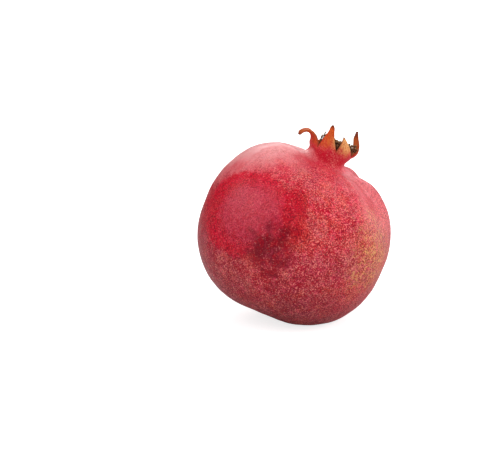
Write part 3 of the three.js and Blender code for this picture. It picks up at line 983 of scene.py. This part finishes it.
    # Relief over the bump's depth, in metres, and roughness.
    bump_strength: float = 0.35
    bump_depth: float = 0.0003
    grain_relief: float = 0.8
    freckle_relief: float = 0.7
    swell_scale: float = 260
    swell_relief: float = 1.2
    fibre_relief: float = 0.8
    roughness: Span = (0.3, 0.42)
    petal_dullness: float = 0.2
    specular: float = 0.2

    def material(self, effects: Effects) -> bpy.types.Material:
        """Builds the material.

        Args:
            effects: the shared groups.

        Returns:
            The finish for the fruit's skin.
        """
        material = bpy.data.materials.new("pomegranate_rind")
        material.use_nodes = True
        RindSheet(self, effects, material.node_tree).paint_all()
        return material


class RindSheet(Sheet):
    """Sheet of the rind's material: its layers of colour, its relief and its roughness."""

    def __init__(self, finish: RindFinish, effects: Effects, tree: bpy.types.NodeTree) -> None:
        """Reads the marks and makes the masks that several layers share.

        Args:
            finish: colours, zones and sizes.
            effects: the shared groups.
            tree: the material's tree.
        """
        super().__init__(tree)
        self.finish = finish
        self.effects = effects
        self.spot = self.place()
        self.meridian, self.crown, self.inside, self.margin, self.dry = (
            self.mark(name) for name in ("meridian", "crown", "inside", "margin", "dry"))
        self.grain = self.noise(self.spot, finish.grain_scale, 1.0)
        self.fibre = self.fibres(finish.petal_fibres)
        self.neck = self.step(self.crown, *finish.neck_starts)
        self.lively = self.math("SUBTRACT", 1.0, self.strongest(finish.calm))
        self.flecked = self.times(self.lively, self.math("SUBTRACT", 1.0, self.strongest(finish.plain)))

    def zone(self, zone: Zone) -> Socket:
        """Mask of a zone, 1 in its middle."""
        return self.group(self.effects.zone, {
            "Place": self.spot, "Centre": tuple(c * METRE for c in zone.centre), "Squeeze": zone.squeeze,
            "Core": zone.core * METRE, "Edge": zone.edge * METRE,
            "Ragged": zone.ragged * METRE, "Grain": zone.grain})

    def strongest(self, zones: tuple[Zone, ...]) -> Socket:
        """Largest of the zones' masks, each times its strength."""
        largest = 0.0
        for zone in zones:
            largest = self.math("MAXIMUM", largest, self.times(self.zone(zone), zone.strength))
        return largest

    def fibres(self, fibres: Fibres) -> Socket:
        """Mask of streaks along the meridians."""
        return self.group(self.effects.streaks, {
            "Meridian": self.meridian, "Fineness": fibres.fineness, "Drawn": fibres.drawn,
            "Low": fibres.low, "High": fibres.high})

    def scribble(self, scale: float, width: float) -> Socket:
        """Mask of thin winding lines."""
        return self.group(self.effects.scribble, {"Place": self.spot, "Scale": scale, "Width": width})

    def body(self) -> Socket:
        """Body's colour: mottled ground, tinted zones with painted light and shade, streaks, washes,
        clouds, dark grain and neck.
        """
        finish = self.finish
        colour = self.blend(self.cloud(self.spot, finish.mottle), paint(*finish.ground),
                            paint(*finish.light))
        for tint, zone in finish.tints_and_painted_light:
            colour = self.coat(colour, self.zone(zone), tint, zone.strength)
        for fibres, zones, tint in ((finish.streaks, finish.drawn, finish.streak),
                                    (finish.veins, finish.veined, finish.ground)):
            colour = self.coat(colour, self.times(self.fibres(fibres), self.strongest(zones)), tint)
        for wash in finish.washes:
            mask = self.times(self.cloud(self.spot, wash.cloud), self.flecked)
            colour = self.coat(colour, mask, wash.colour, wash.share)
        dark = self.step(self.grain, *finish.deep_grain)
        for mask, skin, cover, tint in (
                (self.cloud(self.spot, finish.flush_clouds), self.flecked, finish.flush_cover,
                 finish.flush),
                (self.cloud(self.spot, finish.crimson_clouds), self.lively, finish.crimson_cover,
                 finish.crimson),
                (dark, self.lively, finish.deep_cover, finish.deep)):
            colour = self.coat(colour, self.times(mask, self.fused(skin, *cover)), tint)
        return self.coat(colour, self.neck, finish.neck, finish.neck_cover)

    def freckles(self) -> Socket:
        """Mask of the freckles: dots and winding lines in patches, and the peaks of the grain."""
        finish = self.finish
        dots = self.group(self.effects.dots, {
            "Place": self.spot, "Scale": finish.dot_scale, "Share": finish.dot_share,
            "Size": finish.dot_size})
        lines = self.times(self.scribble(*finish.freckle_lines), finish.line_strength)
        patches = self.cloud(self.spot, finish.freckle_patches, finish.patch_least)
        fine = self.times(self.math("MAXIMUM", dots, lines), patches, self.flecked)
        grain = self.fused(self.flecked, finish.flecked_grain, self.grain)
        cover = self.fused(self.flecked, *finish.raised_cover)
        raised = self.times(self.step(grain, *finish.raised_grain), cover)
        return self.math("MAXIMUM", fine, raised)

    def worn(self, colour: Socket) -> Socket:
        """Colour with the russet: straw scribbles and brown cracks."""
        finish = self.finish
        rough = self.strongest(finish.russet)
        for lines, tint in ((finish.worn_lines, finish.straw), (finish.crack_lines, finish.husk)):
            colour = self.coat(colour, self.times(self.scribble(*lines), rough), tint)
        return colour

    def petals(self, colour: Socket) -> Socket:
        """Colour with the sepals' outer faces, orange with straw and ember, and their brown rims."""
        finish = self.finish
        pale = self.math("MAXIMUM", self.times(self.fibre, finish.fibre_pallor),
                         self.strongest(finish.ripened))
        petal = self.blend(pale, paint(*finish.orange), paint(*finish.straw))
        petal = self.coat(petal, self.cloud(self.spot, finish.embers), finish.ember,
                          finish.ember_cloud_cover)
        petal = self.coat(petal, self.step(self.grain, *finish.ember_grain), finish.ember,
                          finish.ember_grain_cover)
        uneven = self.math("SUBTRACT", self.noise(self.spot, finish.uneven_scale), 0.5)
        shifted = self.fused(self.fibre, finish.fibre_shift, self.crown)
        shifted = self.fused(uneven, finish.uneven_shift, shifted)
        colour = self.blend(self.step(shifted, *finish.petal_starts), colour, petal)
        rim = self.times(self.step(self.margin, *finish.margin_starts),
                         self.step(self.crown, *finish.rim_starts))
        return self.coat(colour, rim, finish.husk, finish.rim_cover)

    def lined(self, colour: Socket) -> Socket:
        """Colour with the sepals' inner faces, husk brown near their feet partly as painted shade, and
        their dry tips.
        """
        finish = self.finish
        # Husk brown near the feet: partly the inner faces' own colour and partly painted shade down in
        # the cup.
        share = self.step(self.crown, *finish.lining_starts, *finish.lining_shares_and_shade)
        share = self.fused(self.fibre, finish.lining_fibre, share)
        within = self.blend(share, paint(*finish.husk), paint(*finish.lining))
        colour = self.blend(self.inside, colour, within)
        parched = self.fused(self.fibre, finish.parched_fibre, self.dry)
        parched = self.math("ADD", parched, self.step(self.crown, *finish.tip_starts))
        return self.coat(colour, self.step(parched, *finish.parched_starts), finish.husk)

    def relief(self, freckles: Socket) -> Socket:
        """Normal bent by the grain, the freckles, soft swells and the neck's fibres."""
        finish = self.finish
        height = self.fused(self.grain, finish.grain_relief, self.times(freckles, finish.freckle_relief))
        height = self.fused(self.noise(self.spot, finish.swell_scale), finish.swell_relief, height)
        height = self.fused(self.times(self.fibre, self.neck), finish.fibre_relief, height)
        return self.node("ShaderNodeBump", {
            "Strength": finish.bump_strength, "Distance": finish.bump_depth,
            "Height": height}).outputs[0]

    def paint_all(self) -> None:
        """Joins the layers, the relief and the roughness in one shader."""
        finish = self.finish
        freckles = self.freckles()
        colour = self.coat(self.body(), freckles, finish.freckle, finish.freckle_cover)
        colour = self.lined(self.petals(self.worn(colour)))
        dull = self.times(self.step(self.crown, *finish.dull_starts), finish.petal_dullness)
        rough = self.math("ADD", self.cloud(self.spot, finish.sheen, *finish.roughness), dull)
        shader = self.node("ShaderNodeBsdfPrincipled", {
            "Base Color": colour, "Roughness": rough, "Normal": self.relief(freckles),
            "Specular IOR Level": finish.specular})
        self.node("ShaderNodeOutputMaterial", {"Surface": shader.outputs[0]})


@dataclass(frozen=True)
class DriedFinish:
    """Dry plant matter: dark at the root, streaked, browner or paler towards the end."""

    name: str
    root: Colour
    middle: Colour
    end: Colour
    speck: Colour
    roughness: float
    grain_scale: float = 2400
    speck_grain: Span = (0.52, 0.75)
    lump_scale: float = 500
    lump_shift: float = 0.6
    middle_starts: Span = (0.05, 0.5)
    end_starts: Span = (0.6, 1.0)
    bump_strength: float = 0.5
    bump_depth: float = 0.0002
    specular: float = 0.3

    def material(self) -> bpy.types.Material:
        """Builds the material from the mark along, 0 at the root to 1 at the end."""
        material = bpy.data.materials.new(self.name)
        material.use_nodes = True
        sheet = Sheet(material.node_tree)
        place, along = sheet.place(), sheet.mark("along")
        grain = sheet.noise(place, self.grain_scale, 4.0, 0.7)
        lumps = sheet.noise(place, self.lump_scale, 2.0)
        shifted = sheet.fused(sheet.math("SUBTRACT", lumps, 0.5), self.lump_shift, along)
        colour = sheet.blend(sheet.step(shifted, *self.middle_starts), paint(*self.root),
                             paint(*self.middle))
        colour = sheet.coat(colour, sheet.step(shifted, *self.end_starts), self.end)
        colour = sheet.coat(colour, sheet.step(grain, *self.speck_grain), self.speck)
        bump = sheet.node("ShaderNodeBump", {
            "Strength": self.bump_strength, "Distance": self.bump_depth, "Height": grain})
        shader = sheet.node("ShaderNodeBsdfPrincipled", {
            "Base Color": colour, "Roughness": self.roughness, "Normal": bump.outputs[0],
            "Specular IOR Level": self.specular})
        sheet.node("ShaderNodeOutputMaterial", {"Surface": shader.outputs[0]})
        return material


@dataclass
class Fruit:
    """The grown fruit: rind, neck, sepals and cup as one closed skin."""

    form: FruitForm = field(default_factory=FruitForm)
    sepal_columns: int = 48
    body_rows: int = 190
    fillet_rows: int = 10
    wall_rows: int = 10
    sepal_rows: int = 30
    meridian_radius: float = 0.03
    lining_start: float = 0.75
    lumps: tuple[Ripple, ...] = (
        Ripple(26, 0.22, 24, 11), Ripple(9, 0.06, 24, 12), Ripple(3.6, 0.02, 30, 13))
    # Circles of the cup from its wall to its floor: shares of the radius, and heights in corners.
    cup_shares: tuple[float, ...] = (0.84, 0.83, 0.8, 0.7, 0.4)
    cup_heights: tuple[float, ...] = (3.2, 1.0, 0.45, 0.0, 0.0)
    cup_rows: int = 17
    cup_dryness: float = 0.5

    def columns(self) -> Array:
        """Azimuths of the grid: equal steps from notch to ridge to notch."""
        u = np.arange(self.sepal_columns) * 2 / self.sepal_columns - 1
        ridges = self.form.ridges
        return np.concatenate([ridges[k] + u * self.form.span(k, u) for k in range(len(SEPALS))])

    def lumpy(self, points: Array, depth: Array | float = 1.0) -> Array:
        """Moves points away from the body's middle by the sum of the ripples."""
        way = points / np.linalg.norm(points, axis=-1, keepdims=True)
        height = sum(ripple.at(points) for ripple in self.lumps)
        return points + way * (height * depth)[..., None]

    def meridian(self, azimuth: Array, along: Array) -> Array:
        """Mark that keeps its first two values along a meridian, in metres, the third running with it."""
        radius = self.meridian_radius
        azimuth, along = np.broadcast_arrays(azimuth, along)
        return np.stack([np.sin(azimuth) * radius, np.cos(azimuth) * radius, along * METRE], -1)

    def build(self, material: bpy.types.Material) -> bpy.types.Object:
        """Builds the skin.

        Args:
            material: finish of the rind.

        Returns:
            The piece that stands for the fruit.
        """
        form = self.form
        shell = Shell(("crown", "inside", "margin", "dry", "meridian"))
        azimuth = self.columns()
        q = np.concatenate([
            np.arange(1, self.body_rows + 1) / self.body_rows,
            1 + np.arange(1, self.fillet_rows + 1) / self.fillet_rows,
            2 + np.arange(1, self.wall_rows + 1) / self.wall_rows])[:, None]
        skin = form.skin(q, azimuth)
        calm = ease(3.0, 2.0, q) * np.ones_like(azimuth)
        skin = self.lumpy(skin, calm)
        crown = np.clip((q - 1) / 2, 0, 1)
        rows = shell.add(
            form.settled(skin), crown=crown, meridian=self.meridian(azimuth, skin[..., 2]))
        shell.rings(rows)
        pole = form.skin(np.array(0.0), np.array(0.0))
        pole_mark = self.meridian(np.array(0.0), pole[2])
        shell.fans(rows[0, ::-1], shell.add(form.settled(pole), meridian=pole_mark))

        inner_ring = self.add_sepals(shell, rows[-1], azimuth)
        self.add_cup(shell, inner_ring, azimuth)
        made = shell.piece("fruit_skin", material)
        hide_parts("fruit")
        return made

    def add_sepals(self, shell: Shell, ring: Array, azimuth: Array) -> Array:
        """Adds the six sepals with their inner faces and edges.

        Args:
            shell: shell of the fruit.
            ring: numbers of the points on the neck's upper ring.
            azimuth: azimuths of the grid.

        Returns:
            Numbers of the points on the cup's ring inside the sepals.
        """
        n, rows = self.sepal_columns, self.sepal_rows
        u = np.arange(n + 1) * 2 / n - 1
        s = (np.arange(rows + 1) / rows)[:, None]
        sides = [self.form.sepal(k, u, s) for k in range(len(SEPALS))]
        mouth = np.concatenate([inner[0, :-1] for _, inner in sides])
        mouth_mark = self.meridian(azimuth, mouth[:, 2])
        inner_ring = shell.add(
            self.form.leaned(mouth), crown=1.0, inside=self.lining_start, meridian=mouth_mark)
        for k, (outer, inner) in enumerate(sides):
            columns = np.arange(k * n, k * n + n + 1) % len(ring)
            sepal_azimuth = self.form.ridges[k] + u * self.form.span(k, u)
            marks = {
                "crown": 1 + s[1:], "margin": np.abs(u) * np.ones_like(s[1:]), "dry": SEPALS[k].dry}
            faces = []
            for points, inside, root in ((outer, 0.0, ring), (inner, 1.0, inner_ring)):
                mark = self.meridian(sepal_azimuth, points[1:, :, 2])
                numbers = shell.add(self.form.leaned(points[1:]), inside=inside, meridian=mark, **marks)
                faces.append(np.concatenate([root[columns][None], numbers]))
            out, within = faces
            shell.quads(out[:-1], out[1:])
            shell.quads(within[1:], within[:-1])
            shell.quads(np.stack([out[:-1, -1], within[:-1, -1]], -1),
                        np.stack([out[1:, -1], within[1:, -1]], -1))
            shell.quads(np.stack([within[:-1, 0], out[:-1, 0]], -1),
                        np.stack([within[1:, 0], out[1:, 0]], -1))
            shell.quads(out[-1:], within[-1:])
        return inner_ring

    def add_cup(self, shell: Shell, inner_ring: Array, azimuth: Array) -> None:
        """Adds the cup's wall and floor: circles of falling radius and height inside the ring.

        Args:
            shell: shell of the fruit.
            inner_ring: numbers of the points on the cup's mouth.
            azimuth: azimuths of the grid.
        """
        radius = self.form.neck_radius + self.form.ring_flare - self.form.cup_wall
        floor, corner = self.form.cup_floor, self.form.cup_corner
        knots = np.arange(len(self.cup_shares))
        fine = np.linspace(0, knots[-1], self.cup_rows)[:, None]
        share = np.interp(fine, knots, self.cup_shares)
        height = np.interp(fine, knots, np.array(self.cup_heights) * corner + floor)
        points = np.stack([radius * share * np.sin(azimuth) + self.form.crown_shift,
                           -radius * share * np.cos(azimuth), height * np.ones_like(azimuth)], -1)
        mark = self.meridian(azimuth, height)
        lined = {"crown": 1.0, "inside": 1.0, "dry": self.cup_dryness}
        rows = shell.add(self.form.leaned(points), meridian=mark, **lined)
        shell.rings(np.concatenate([inner_ring[None], rows]))
        middle = self.form.leaned(np.array([self.form.crown_shift, 0.0, floor]))
        centre_mark = self.meridian(np.array(0.0), np.array(floor))
        shell.fans(rows[-1], shell.add(middle, meridian=centre_mark, **lined))


@dataclass
class StamenTuft:
    """Dried stamens in the cup: a domed disc, many thin filaments with their anthers, and the style."""

    form: FruitForm = field(default_factory=FruitForm)
    core_gap: float = 0.45
    core_radius: float = 6.5
    tilt: float = 0.12
    rise: float = 1.8
    core_side: float = 38.6
    core_dome: float = 1.8
    filaments: int = 760
    filament_radius: float = 0.14
    anther_radius: float = 0.5
    anther_length: float = 1.5
    root_spread: float = 5.9
    tip_spread: float = 7.5
    tip_low: float = 43.5
    tip_range: float = 7.0
    spill_azimuth: float = 88.0
    spill: float = 4.4
    style_radius: float = 0.75
    style_top: float = 49.0
    style_rows: int = 24
    style_sides: int = 14
    style_root: float = 0.4
    knob: float = 0.9
    knob_middle: float = 0.93
    knob_reach: float = 0.06
    seed: int = 5

    rows: int = 12
    sides: int = 5
    root_thick: float = 1.25
    thinning: float = 0.45
    root_sink: float = 0.3
    reach_range: Span = (0.85, 1.3)
    azimuth_wander: float = 0.28
    bend: float = 0.55
    bend_ways: Triple = (1.0, 1.0, 0.3)
    twist: float = 0.35
    twist_ways: Triple = (1.0, 1.0, 0.0)
    spill_power: float = 1.5
    spill_heights: Span = (42.0, 47.0)

    anther_rows: int = 8
    anther_sides: int = 8
    anther_sizes: Span = (0.7, 1.2)
    anther_sink: float = 0.35
    anther_ends: Span = (0.1, 0.9)
    anther_power: float = 0.7
    anther_waist: float = 0.22
    waist_reach: float = 0.12

    # Circles up the disc's side: how far inside its radius, and how far over its bottom.
    side_insets: tuple[float, ...] = (1.6, 0.9, 0.2, 0.0)
    side_heights: tuple[float, ...] = (0.0, 0.0, 0.7, 1.1)
    dome_least: float = 0.06
    dome_rows: int = 16
    dome_sink: float = 0.1
    core_columns: int = 72
    core_relief: Ripple = Ripple(1.6, 0.12, 30, 31)
    relief_start: float = 0.5

    def dome(self, radius: Array) -> Array:
        """Height of the disc's top at a radius: a low paraboloid."""
        return self.core_side + self.core_dome * (1 - (radius / self.core_radius) ** 2)

    def build(self, dried: bpy.types.Material, anthers: bpy.types.Material) -> bpy.types.Object:
        """Builds the tuft as two pieces, the filaments with the disc, and the anthers.

        Args:
            dried: finish of the disc, the filaments and the style.
            anthers: finish of the anthers.

        Returns:
            The piece that stands for the stamens.
        """
        shell = Shell(("along",))
        self.add_core(shell)
        lines = self.lines()
        each = np.ones((len(lines), 1))
        along = np.linspace(0, 1, self.rows)
        thin = self.filament_radius * (self.root_thick - self.thinning * along) * each
        add_tubes(shell, lines, thin, self.sides, along=along * each)
        self.add_style(shell)
        self.lay(shell)
        made = shell.piece("stamen_filaments", dried)
        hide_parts("stamens")

        tips = Shell(("along",))
        shares = np.linspace(0, 1, self.anther_rows)
        way = lines[:, -1] - lines[:, -2]
        way = way / np.linalg.norm(way, axis=-1, keepdims=True)
        past = (shares[:, None] - self.anther_sink) * self.anther_length
        middles = lines[:, -1:] + way[:, None] * past
        add_tubes(tips, middles, self.anther_radii(shares), self.anther_sides, along=shares * each)
        self.lay(tips)
        tips.piece("stamen_anthers", anthers)
        return made

    def lay(self, shell: Shell) -> None:
        """Moves a shell's points from the fruit's own frame to the way the fruit lies."""
        shift = np.array([self.form.crown_shift, 0.0, 0.0])
        shell.points = [self.form.leaned(points + shift) for points in shell.points]

    def anther_radii(self, shares: Array) -> Array:
        """Radius of each anther along it: a power of a sine, less a bell at its waist.

        Args:
            shares: 0 to 1 along an anther.

        Returns:
            Radii, anthers by shares.
        """
        sizes = np.random.default_rng(self.seed + 1).uniform(*self.anther_sizes, self.filaments)
        first, last = self.anther_ends
        swell = np.sin(np.pi * (first + (last - first) * shares)) ** self.anther_power
        waist = 1 - self.anther_waist * np.exp(-(((shares - 0.5) / self.waist_reach) ** 2))
        return self.anther_radius * sizes[:, None] * swell * waist

    def lines(self) -> Array:
        """Middle lines of the filaments: straight from the disc to the tip, bent by sine waves.

        They fan out with the golden angle, stay inside the cup, lean to the low side and spill over
        the cup's rim on that side.

        Returns:
            Lines, filaments by rows by 3.
        """
        rng = np.random.default_rng(self.seed)
        number = np.arange(self.filaments)
        radius = self.root_spread * np.sqrt((number + 0.5) / self.filaments)
        azimuth = number * math.pi * (3 - math.sqrt(5))
        tip_radius = np.minimum(self.tip_spread, radius * rng.uniform(*self.reach_range, self.filaments))
        tip_azimuth = azimuth + rng.normal(0, self.azimuth_wander, self.filaments)
        tip_height = self.tip_low + self.tip_range * rng.random(self.filaments)
        root = around(radius, azimuth, self.dome(radius) - self.root_sink)
        tip = around(tip_radius, tip_azimuth, tip_height)
        bend = rng.normal(0, self.bend, (self.filaments, 1, 3)) * self.bend_ways
        twist = rng.normal(0, self.twist, (self.filaments, 1, 3)) * self.twist_ways
        t = np.linspace(0, 1, self.rows)[None, :, None]
        lines = root[:, None] * (1 - t) + tip[:, None] * t
        lines = lines + bend * np.sin(np.pi * t) + twist * np.sin(2 * np.pi * t)
        reach = np.hypot(lines[..., 0], lines[..., 1])
        held = np.minimum(1, self.tip_spread / np.maximum(reach, 1e-6))[..., None]
        lines = lines * np.concatenate([held, held, np.ones_like(held)], -1)
        side = np.radians(self.spill_azimuth)
        toward = np.array([np.sin(side), -np.cos(side), 0.0])
        lean = self.tilt * np.maximum(0, lines[..., 2:] - self.core_side)
        near = np.clip((lines @ toward)[..., None] / self.tip_spread, 0, 1) ** self.spill_power
        high = ease(*self.spill_heights, lines[..., 2:])
        aside = (np.abs(lines @ toward)[..., None] / self.tip_spread) ** self.spill_power
        lines = lines + (toward * self.spill * near + np.array([0.0, 0.0, self.rise]) * aside) * high
        return lines + np.array([1.0, 0.0, 0.0]) * lean

    def add_core(self, shell: Shell) -> None:
        """Adds the disc: circles up its side and over its dome, closed at both ends."""
        bottom = self.form.cup_floor + self.core_gap
        inner = self.core_radius * np.linspace(1, self.dome_least, self.dome_rows)
        radius = np.concatenate([self.core_radius - np.array(self.side_insets), inner])[:, None]
        height = np.concatenate([bottom + np.array(self.side_heights), self.dome(inner)])[:, None]
        points = around(radius, np.arange(self.core_columns) * TURN / self.core_columns, height)
        rough = self.core_relief.at(points) * (points[..., 2] > bottom + self.relief_start)
        points[..., 2] -= np.abs(rough)
        rows = shell.add(points)
        shell.rings(rows)
        shell.fans(rows[0, ::-1], shell.add(np.array([0.0, 0.0, bottom])))
        shell.fans(rows[-1], shell.add(np.array([0.0, 0.0, self.dome(0.0) - self.dome_sink])))

    def add_style(self, shell: Shell) -> None:
        """Adds the dried style: a bent stalk with a knob."""
        t = np.linspace(0, 1, self.style_rows)
        foot = self.dome(0.0) - self.style_root
        height = foot + (self.style_top - foot) * t
        line = np.stack([0.5 * np.sin(3.2 * t), -0.6 * np.sin(2.4 * t), height], -1)[None]
        knob = self.knob * np.exp(-(((t - self.knob_middle) / self.knob_reach) ** 2))
        size = self.style_radius * (0.95 - 0.35 * t + knob) * (1 - 0.3 * ease(0.97, 1.0, t))
        add_tubes(shell, line, size[None], self.style_sides, along=(0.3 + 0.5 * t)[None])


@dataclass
class StemStub:
    """Woody stub where the fruit was clipped, with ridged bark and a slightly hollow cut end."""

    form: FruitForm = field(default_factory=FruitForm)
    radius: float = 2.3
    gap: float = 0.35
    length: float = 2.9
    rows: int = 56
    columns: int = 72
    # Knots of the turned profile from the cut end to the seat: shares of the radius, and heights.
    shares: tuple[float, ...] = (0.1, 0.45, 0.8, 0.92, 0.97, 0.93, 0.9, 0.93, 0.99, 0.97, 0.85)
    heights: tuple[float, ...] = (0.16, 0.12, -0.06, -0.02, 0.25, 0.8, 1.2, 1.6, 1.9, 2.2, 2.42)
    end_dish: float = 0.18
    # Bark ridges: how many round the stub, how high as a share of the radius, and where they turn.
    ridges: tuple[tuple[int, float, float], ...] = ((11, 0.035, 2.0), (17, 0.03, 0.0))
    bark_starts: Span = (2.5, 4.5)
    shrink: float = 0.03
    relief: Ripple = Ripple(1.1, 1.0, 24, 41)
    relief_share: float = 0.02

    def build(self, material: bpy.types.Material) -> bpy.types.Object:
        """Builds the stub: a turned profile with cosine bark ridges and fine random relief.

        Args:
            material: finish of the wood.

        Returns:
            The piece that stands for the stem stub.
        """
        seat = self.form.skin(np.array(0.0), np.array(0.0))[2] - self.gap
        end = seat - self.length
        knots = np.arange(len(self.shares))
        fine = np.linspace(0, knots[-1], self.rows)[:, None]
        azimuth = np.arange(self.columns) * TURN / self.columns
        bark = sum(high * np.cos(count * azimuth + turned) for count, high, turned in self.ridges)
        bark = bark * ease(*self.bark_starts, fine)
        radius = self.radius * np.interp(fine, knots, self.shares) * (1 - self.shrink + bark)
        points = around(radius, azimuth, np.interp(fine, knots, self.heights) + end)
        points[..., :2] *= 1 + self.relief_share * self.relief.at(points)[..., None]
        shell = Shell(("along",))
        along = fine / knots[-1] * np.ones_like(azimuth)
        rows = shell.add(self.form.leaned(points), along=along)
        shell.rings(rows)
        low = np.array([0.0, 0.0, end + self.end_dish])
        high = np.array([0.0, 0.0, seat])
        shell.fans(rows[0, ::-1], shell.add(self.form.leaned(low)))
        shell.fans(rows[-1], shell.add(self.form.leaned(high), along=1.0))
        made = shell.piece("stem_stub_wood", material)
        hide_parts("stem_stub")
        return made


@dataclass(frozen=True)
class Softbox:
    """A square area light, placed and aimed in metres."""

    name: str
    place: Triple
    aim: Triple
    width: float
    height: float
    power: float
    mirrored: bool = True

    def build(self) -> None:
        """Adds the light to the scene."""
        light = bpy.data.lights.new(self.name, "AREA")
        light.shape = "RECTANGLE"
        light.size = self.width
        light.size_y = self.height
        light.energy = self.power
        made = bpy.data.objects.new(self.name, light)
        made.location = self.place
        way = Vector(self.aim) - Vector(self.place)
        made.rotation_euler = way.to_track_quat("-Z", "Y").to_euler()
        made.visible_camera = False
        made.visible_glossy = self.mirrored
        bpy.context.scene.collection.objects.link(made)


@dataclass
class Studio:
    """White studio: floor, softboxes, even surroundings and the camera, in metres and degrees."""

    distance: float = 0.9
    elevation: float = 13.0
    lens: float = 131.0
    aim_left: float = 0.0223
    aim_up: float = 0.0007
    sensor: float = 36.0
    far: float = 50.0
    surround: float = 0.08
    floor_half: float = 6.0
    floor_greys: Span = (0.5, 0.54)
    # Seen by the camera the floor glows, less under the fruit, so that its shadow stays soft.
    glow_reach: Span = (0.04, 0.12)
    glow: Span = (0.78, 1.0)
    boxes: tuple[Softbox, ...] = (
        Softbox("left", (-0.90, -0.23, 0.72), (0, 0, 0.06), 0.75, 0.7, 4.3),
        Softbox("back", (0.15, 1.05, 0.62), (0, 0, 0.06), 1.0, 0.6, 5.0),
        Softbox("right", (1.00, 0.60, 0.36), (0, 0, 0.06), 0.9, 0.7, 4.2),
        Softbox("top", (-0.15, 0.30, 1.10), (0, 0, 0.06), 1.0, 1.0, 5.0, False),
        Softbox("right_fill", (1.20, -0.20, 0.50), (0, 0, 0.06), 0.9, 0.9, 6.0, False),
        Softbox("front", (0.30, -1.22, 0.90), (0, 0, 0.05), 1.6, 1.0, 13.2, False),
    )

    def build(self, middle: float) -> None:
        """Builds the studio round the fruit.

        Args:
            middle: height of the fruit's middle over the floor, in metres.
        """
        self.add_floor()
        for box in self.boxes:
            box.build()
        self.add_surround()
        self.add_camera(middle)

    def add_floor(self) -> None:
        """Adds the pale floor."""
        half = self.floor_half
        mesh = bpy.data.meshes.new("floor")
        corners = [(-half, -half, 0), (half, -half, 0), (half, half, 0), (-half, half, 0)]
        mesh.from_pydata(corners, [], [(0, 1, 2, 3)])
        material = bpy.data.materials.new("floor_white")
        material.use_nodes = True
        sheet = Sheet(material.node_tree)
        pale = sheet.noise(sheet.place(), 3.0, 2.0)
        colour = sheet.blend(pale, *((grey, grey, grey, 1) for grey in self.floor_greys))
        shader = sheet.node("ShaderNodeBsdfPrincipled", {
            "Base Color": colour, "Roughness": 0.7, "Specular IOR Level": 0.2})
        seen = sheet.node("ShaderNodeLightPath").outputs["Is Camera Ray"]
        away = sheet.node("ShaderNodeVectorMath", {0: sheet.place()}, operation="LENGTH").outputs["Value"]
        lit = sheet.times(seen, sheet.step(away, *self.glow_reach, *self.glow))
        glow = sheet.node("ShaderNodeEmission", {"Color": (1, 1, 1, 1), "Strength": lit})
        both = sheet.node("ShaderNodeAddShader", {0: shader.outputs[0], 1: glow.outputs[0]})
        sheet.node("ShaderNodeOutputMaterial", {"Surface": both.outputs[0]})
        mesh.materials.append(material)
        floor = bpy.data.objects.new("floor", mesh)
        bpy.context.scene.collection.objects.link(floor)

    def add_surround(self) -> None:
        """Adds even surroundings, white where the camera sees them."""
        world = bpy.data.worlds.new("studio")
        world.use_nodes = True
        sheet = Sheet(world.node_tree)
        seen = sheet.node("ShaderNodeLightPath").outputs["Is Camera Ray"]
        strength = sheet.fused(seen, 1.0 - self.surround, self.surround)
        back = sheet.node("ShaderNodeBackground", {"Color": (1, 1, 1, 1), "Strength": strength})
        sheet.node("ShaderNodeOutputWorld", {"Surface": back.outputs[0]})
        bpy.context.scene.world = world

    def add_camera(self, middle: float) -> None:
        """Adds the camera at the photograph's angle, aimed so that the fruit stands right of centre."""
        camera = bpy.data.cameras.new("camera")
        camera.lens = self.lens
        camera.sensor_width = self.sensor
        camera.clip_end = self.far
        made = bpy.data.objects.new("camera", camera)
        low = math.radians(self.elevation)
        back = Vector((0, -math.cos(low), math.sin(low)))
        centre = Vector((0, 0, middle))
        made.location = centre + back * self.distance
        aim = centre + Vector((-self.aim_left, 0, self.aim_up)) - made.location
        made.rotation_euler = aim.to_track_quat("-Z", "Y").to_euler()
        bpy.context.scene.collection.objects.link(made)
        bpy.context.scene.camera = made
        bpy.context.scene.view_settings.view_transform = "Standard"


def main() -> None:
    """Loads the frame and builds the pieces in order."""
    logging.basicConfig(level=logging.INFO)
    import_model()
    effects = Effects()
    rind = RindFinish().material(effects)
    dried = DriedFinish("dried_filament", (58, 30, 22), (112, 66, 44), (150, 104, 70),
                        (176, 136, 98), 0.8)
    anther = DriedFinish("dried_anther", (66, 36, 24), (92, 54, 36), (150, 110, 74),
                         (186, 152, 112), 0.75)
    wood = DriedFinish("stem_wood", (186, 152, 108), (112, 80, 54), (84, 56, 38),
                       (148, 118, 84), 0.85)
    fruit = Fruit()
    fruit.build(rind)
    StamenTuft().build(dried.material(), anther.material())
    StemStub().build(wood.material())
    Studio().build(fruit.form.rest_height() * METRE)
    log.info("sizes written")


if __name__ == "__main__":
    main()
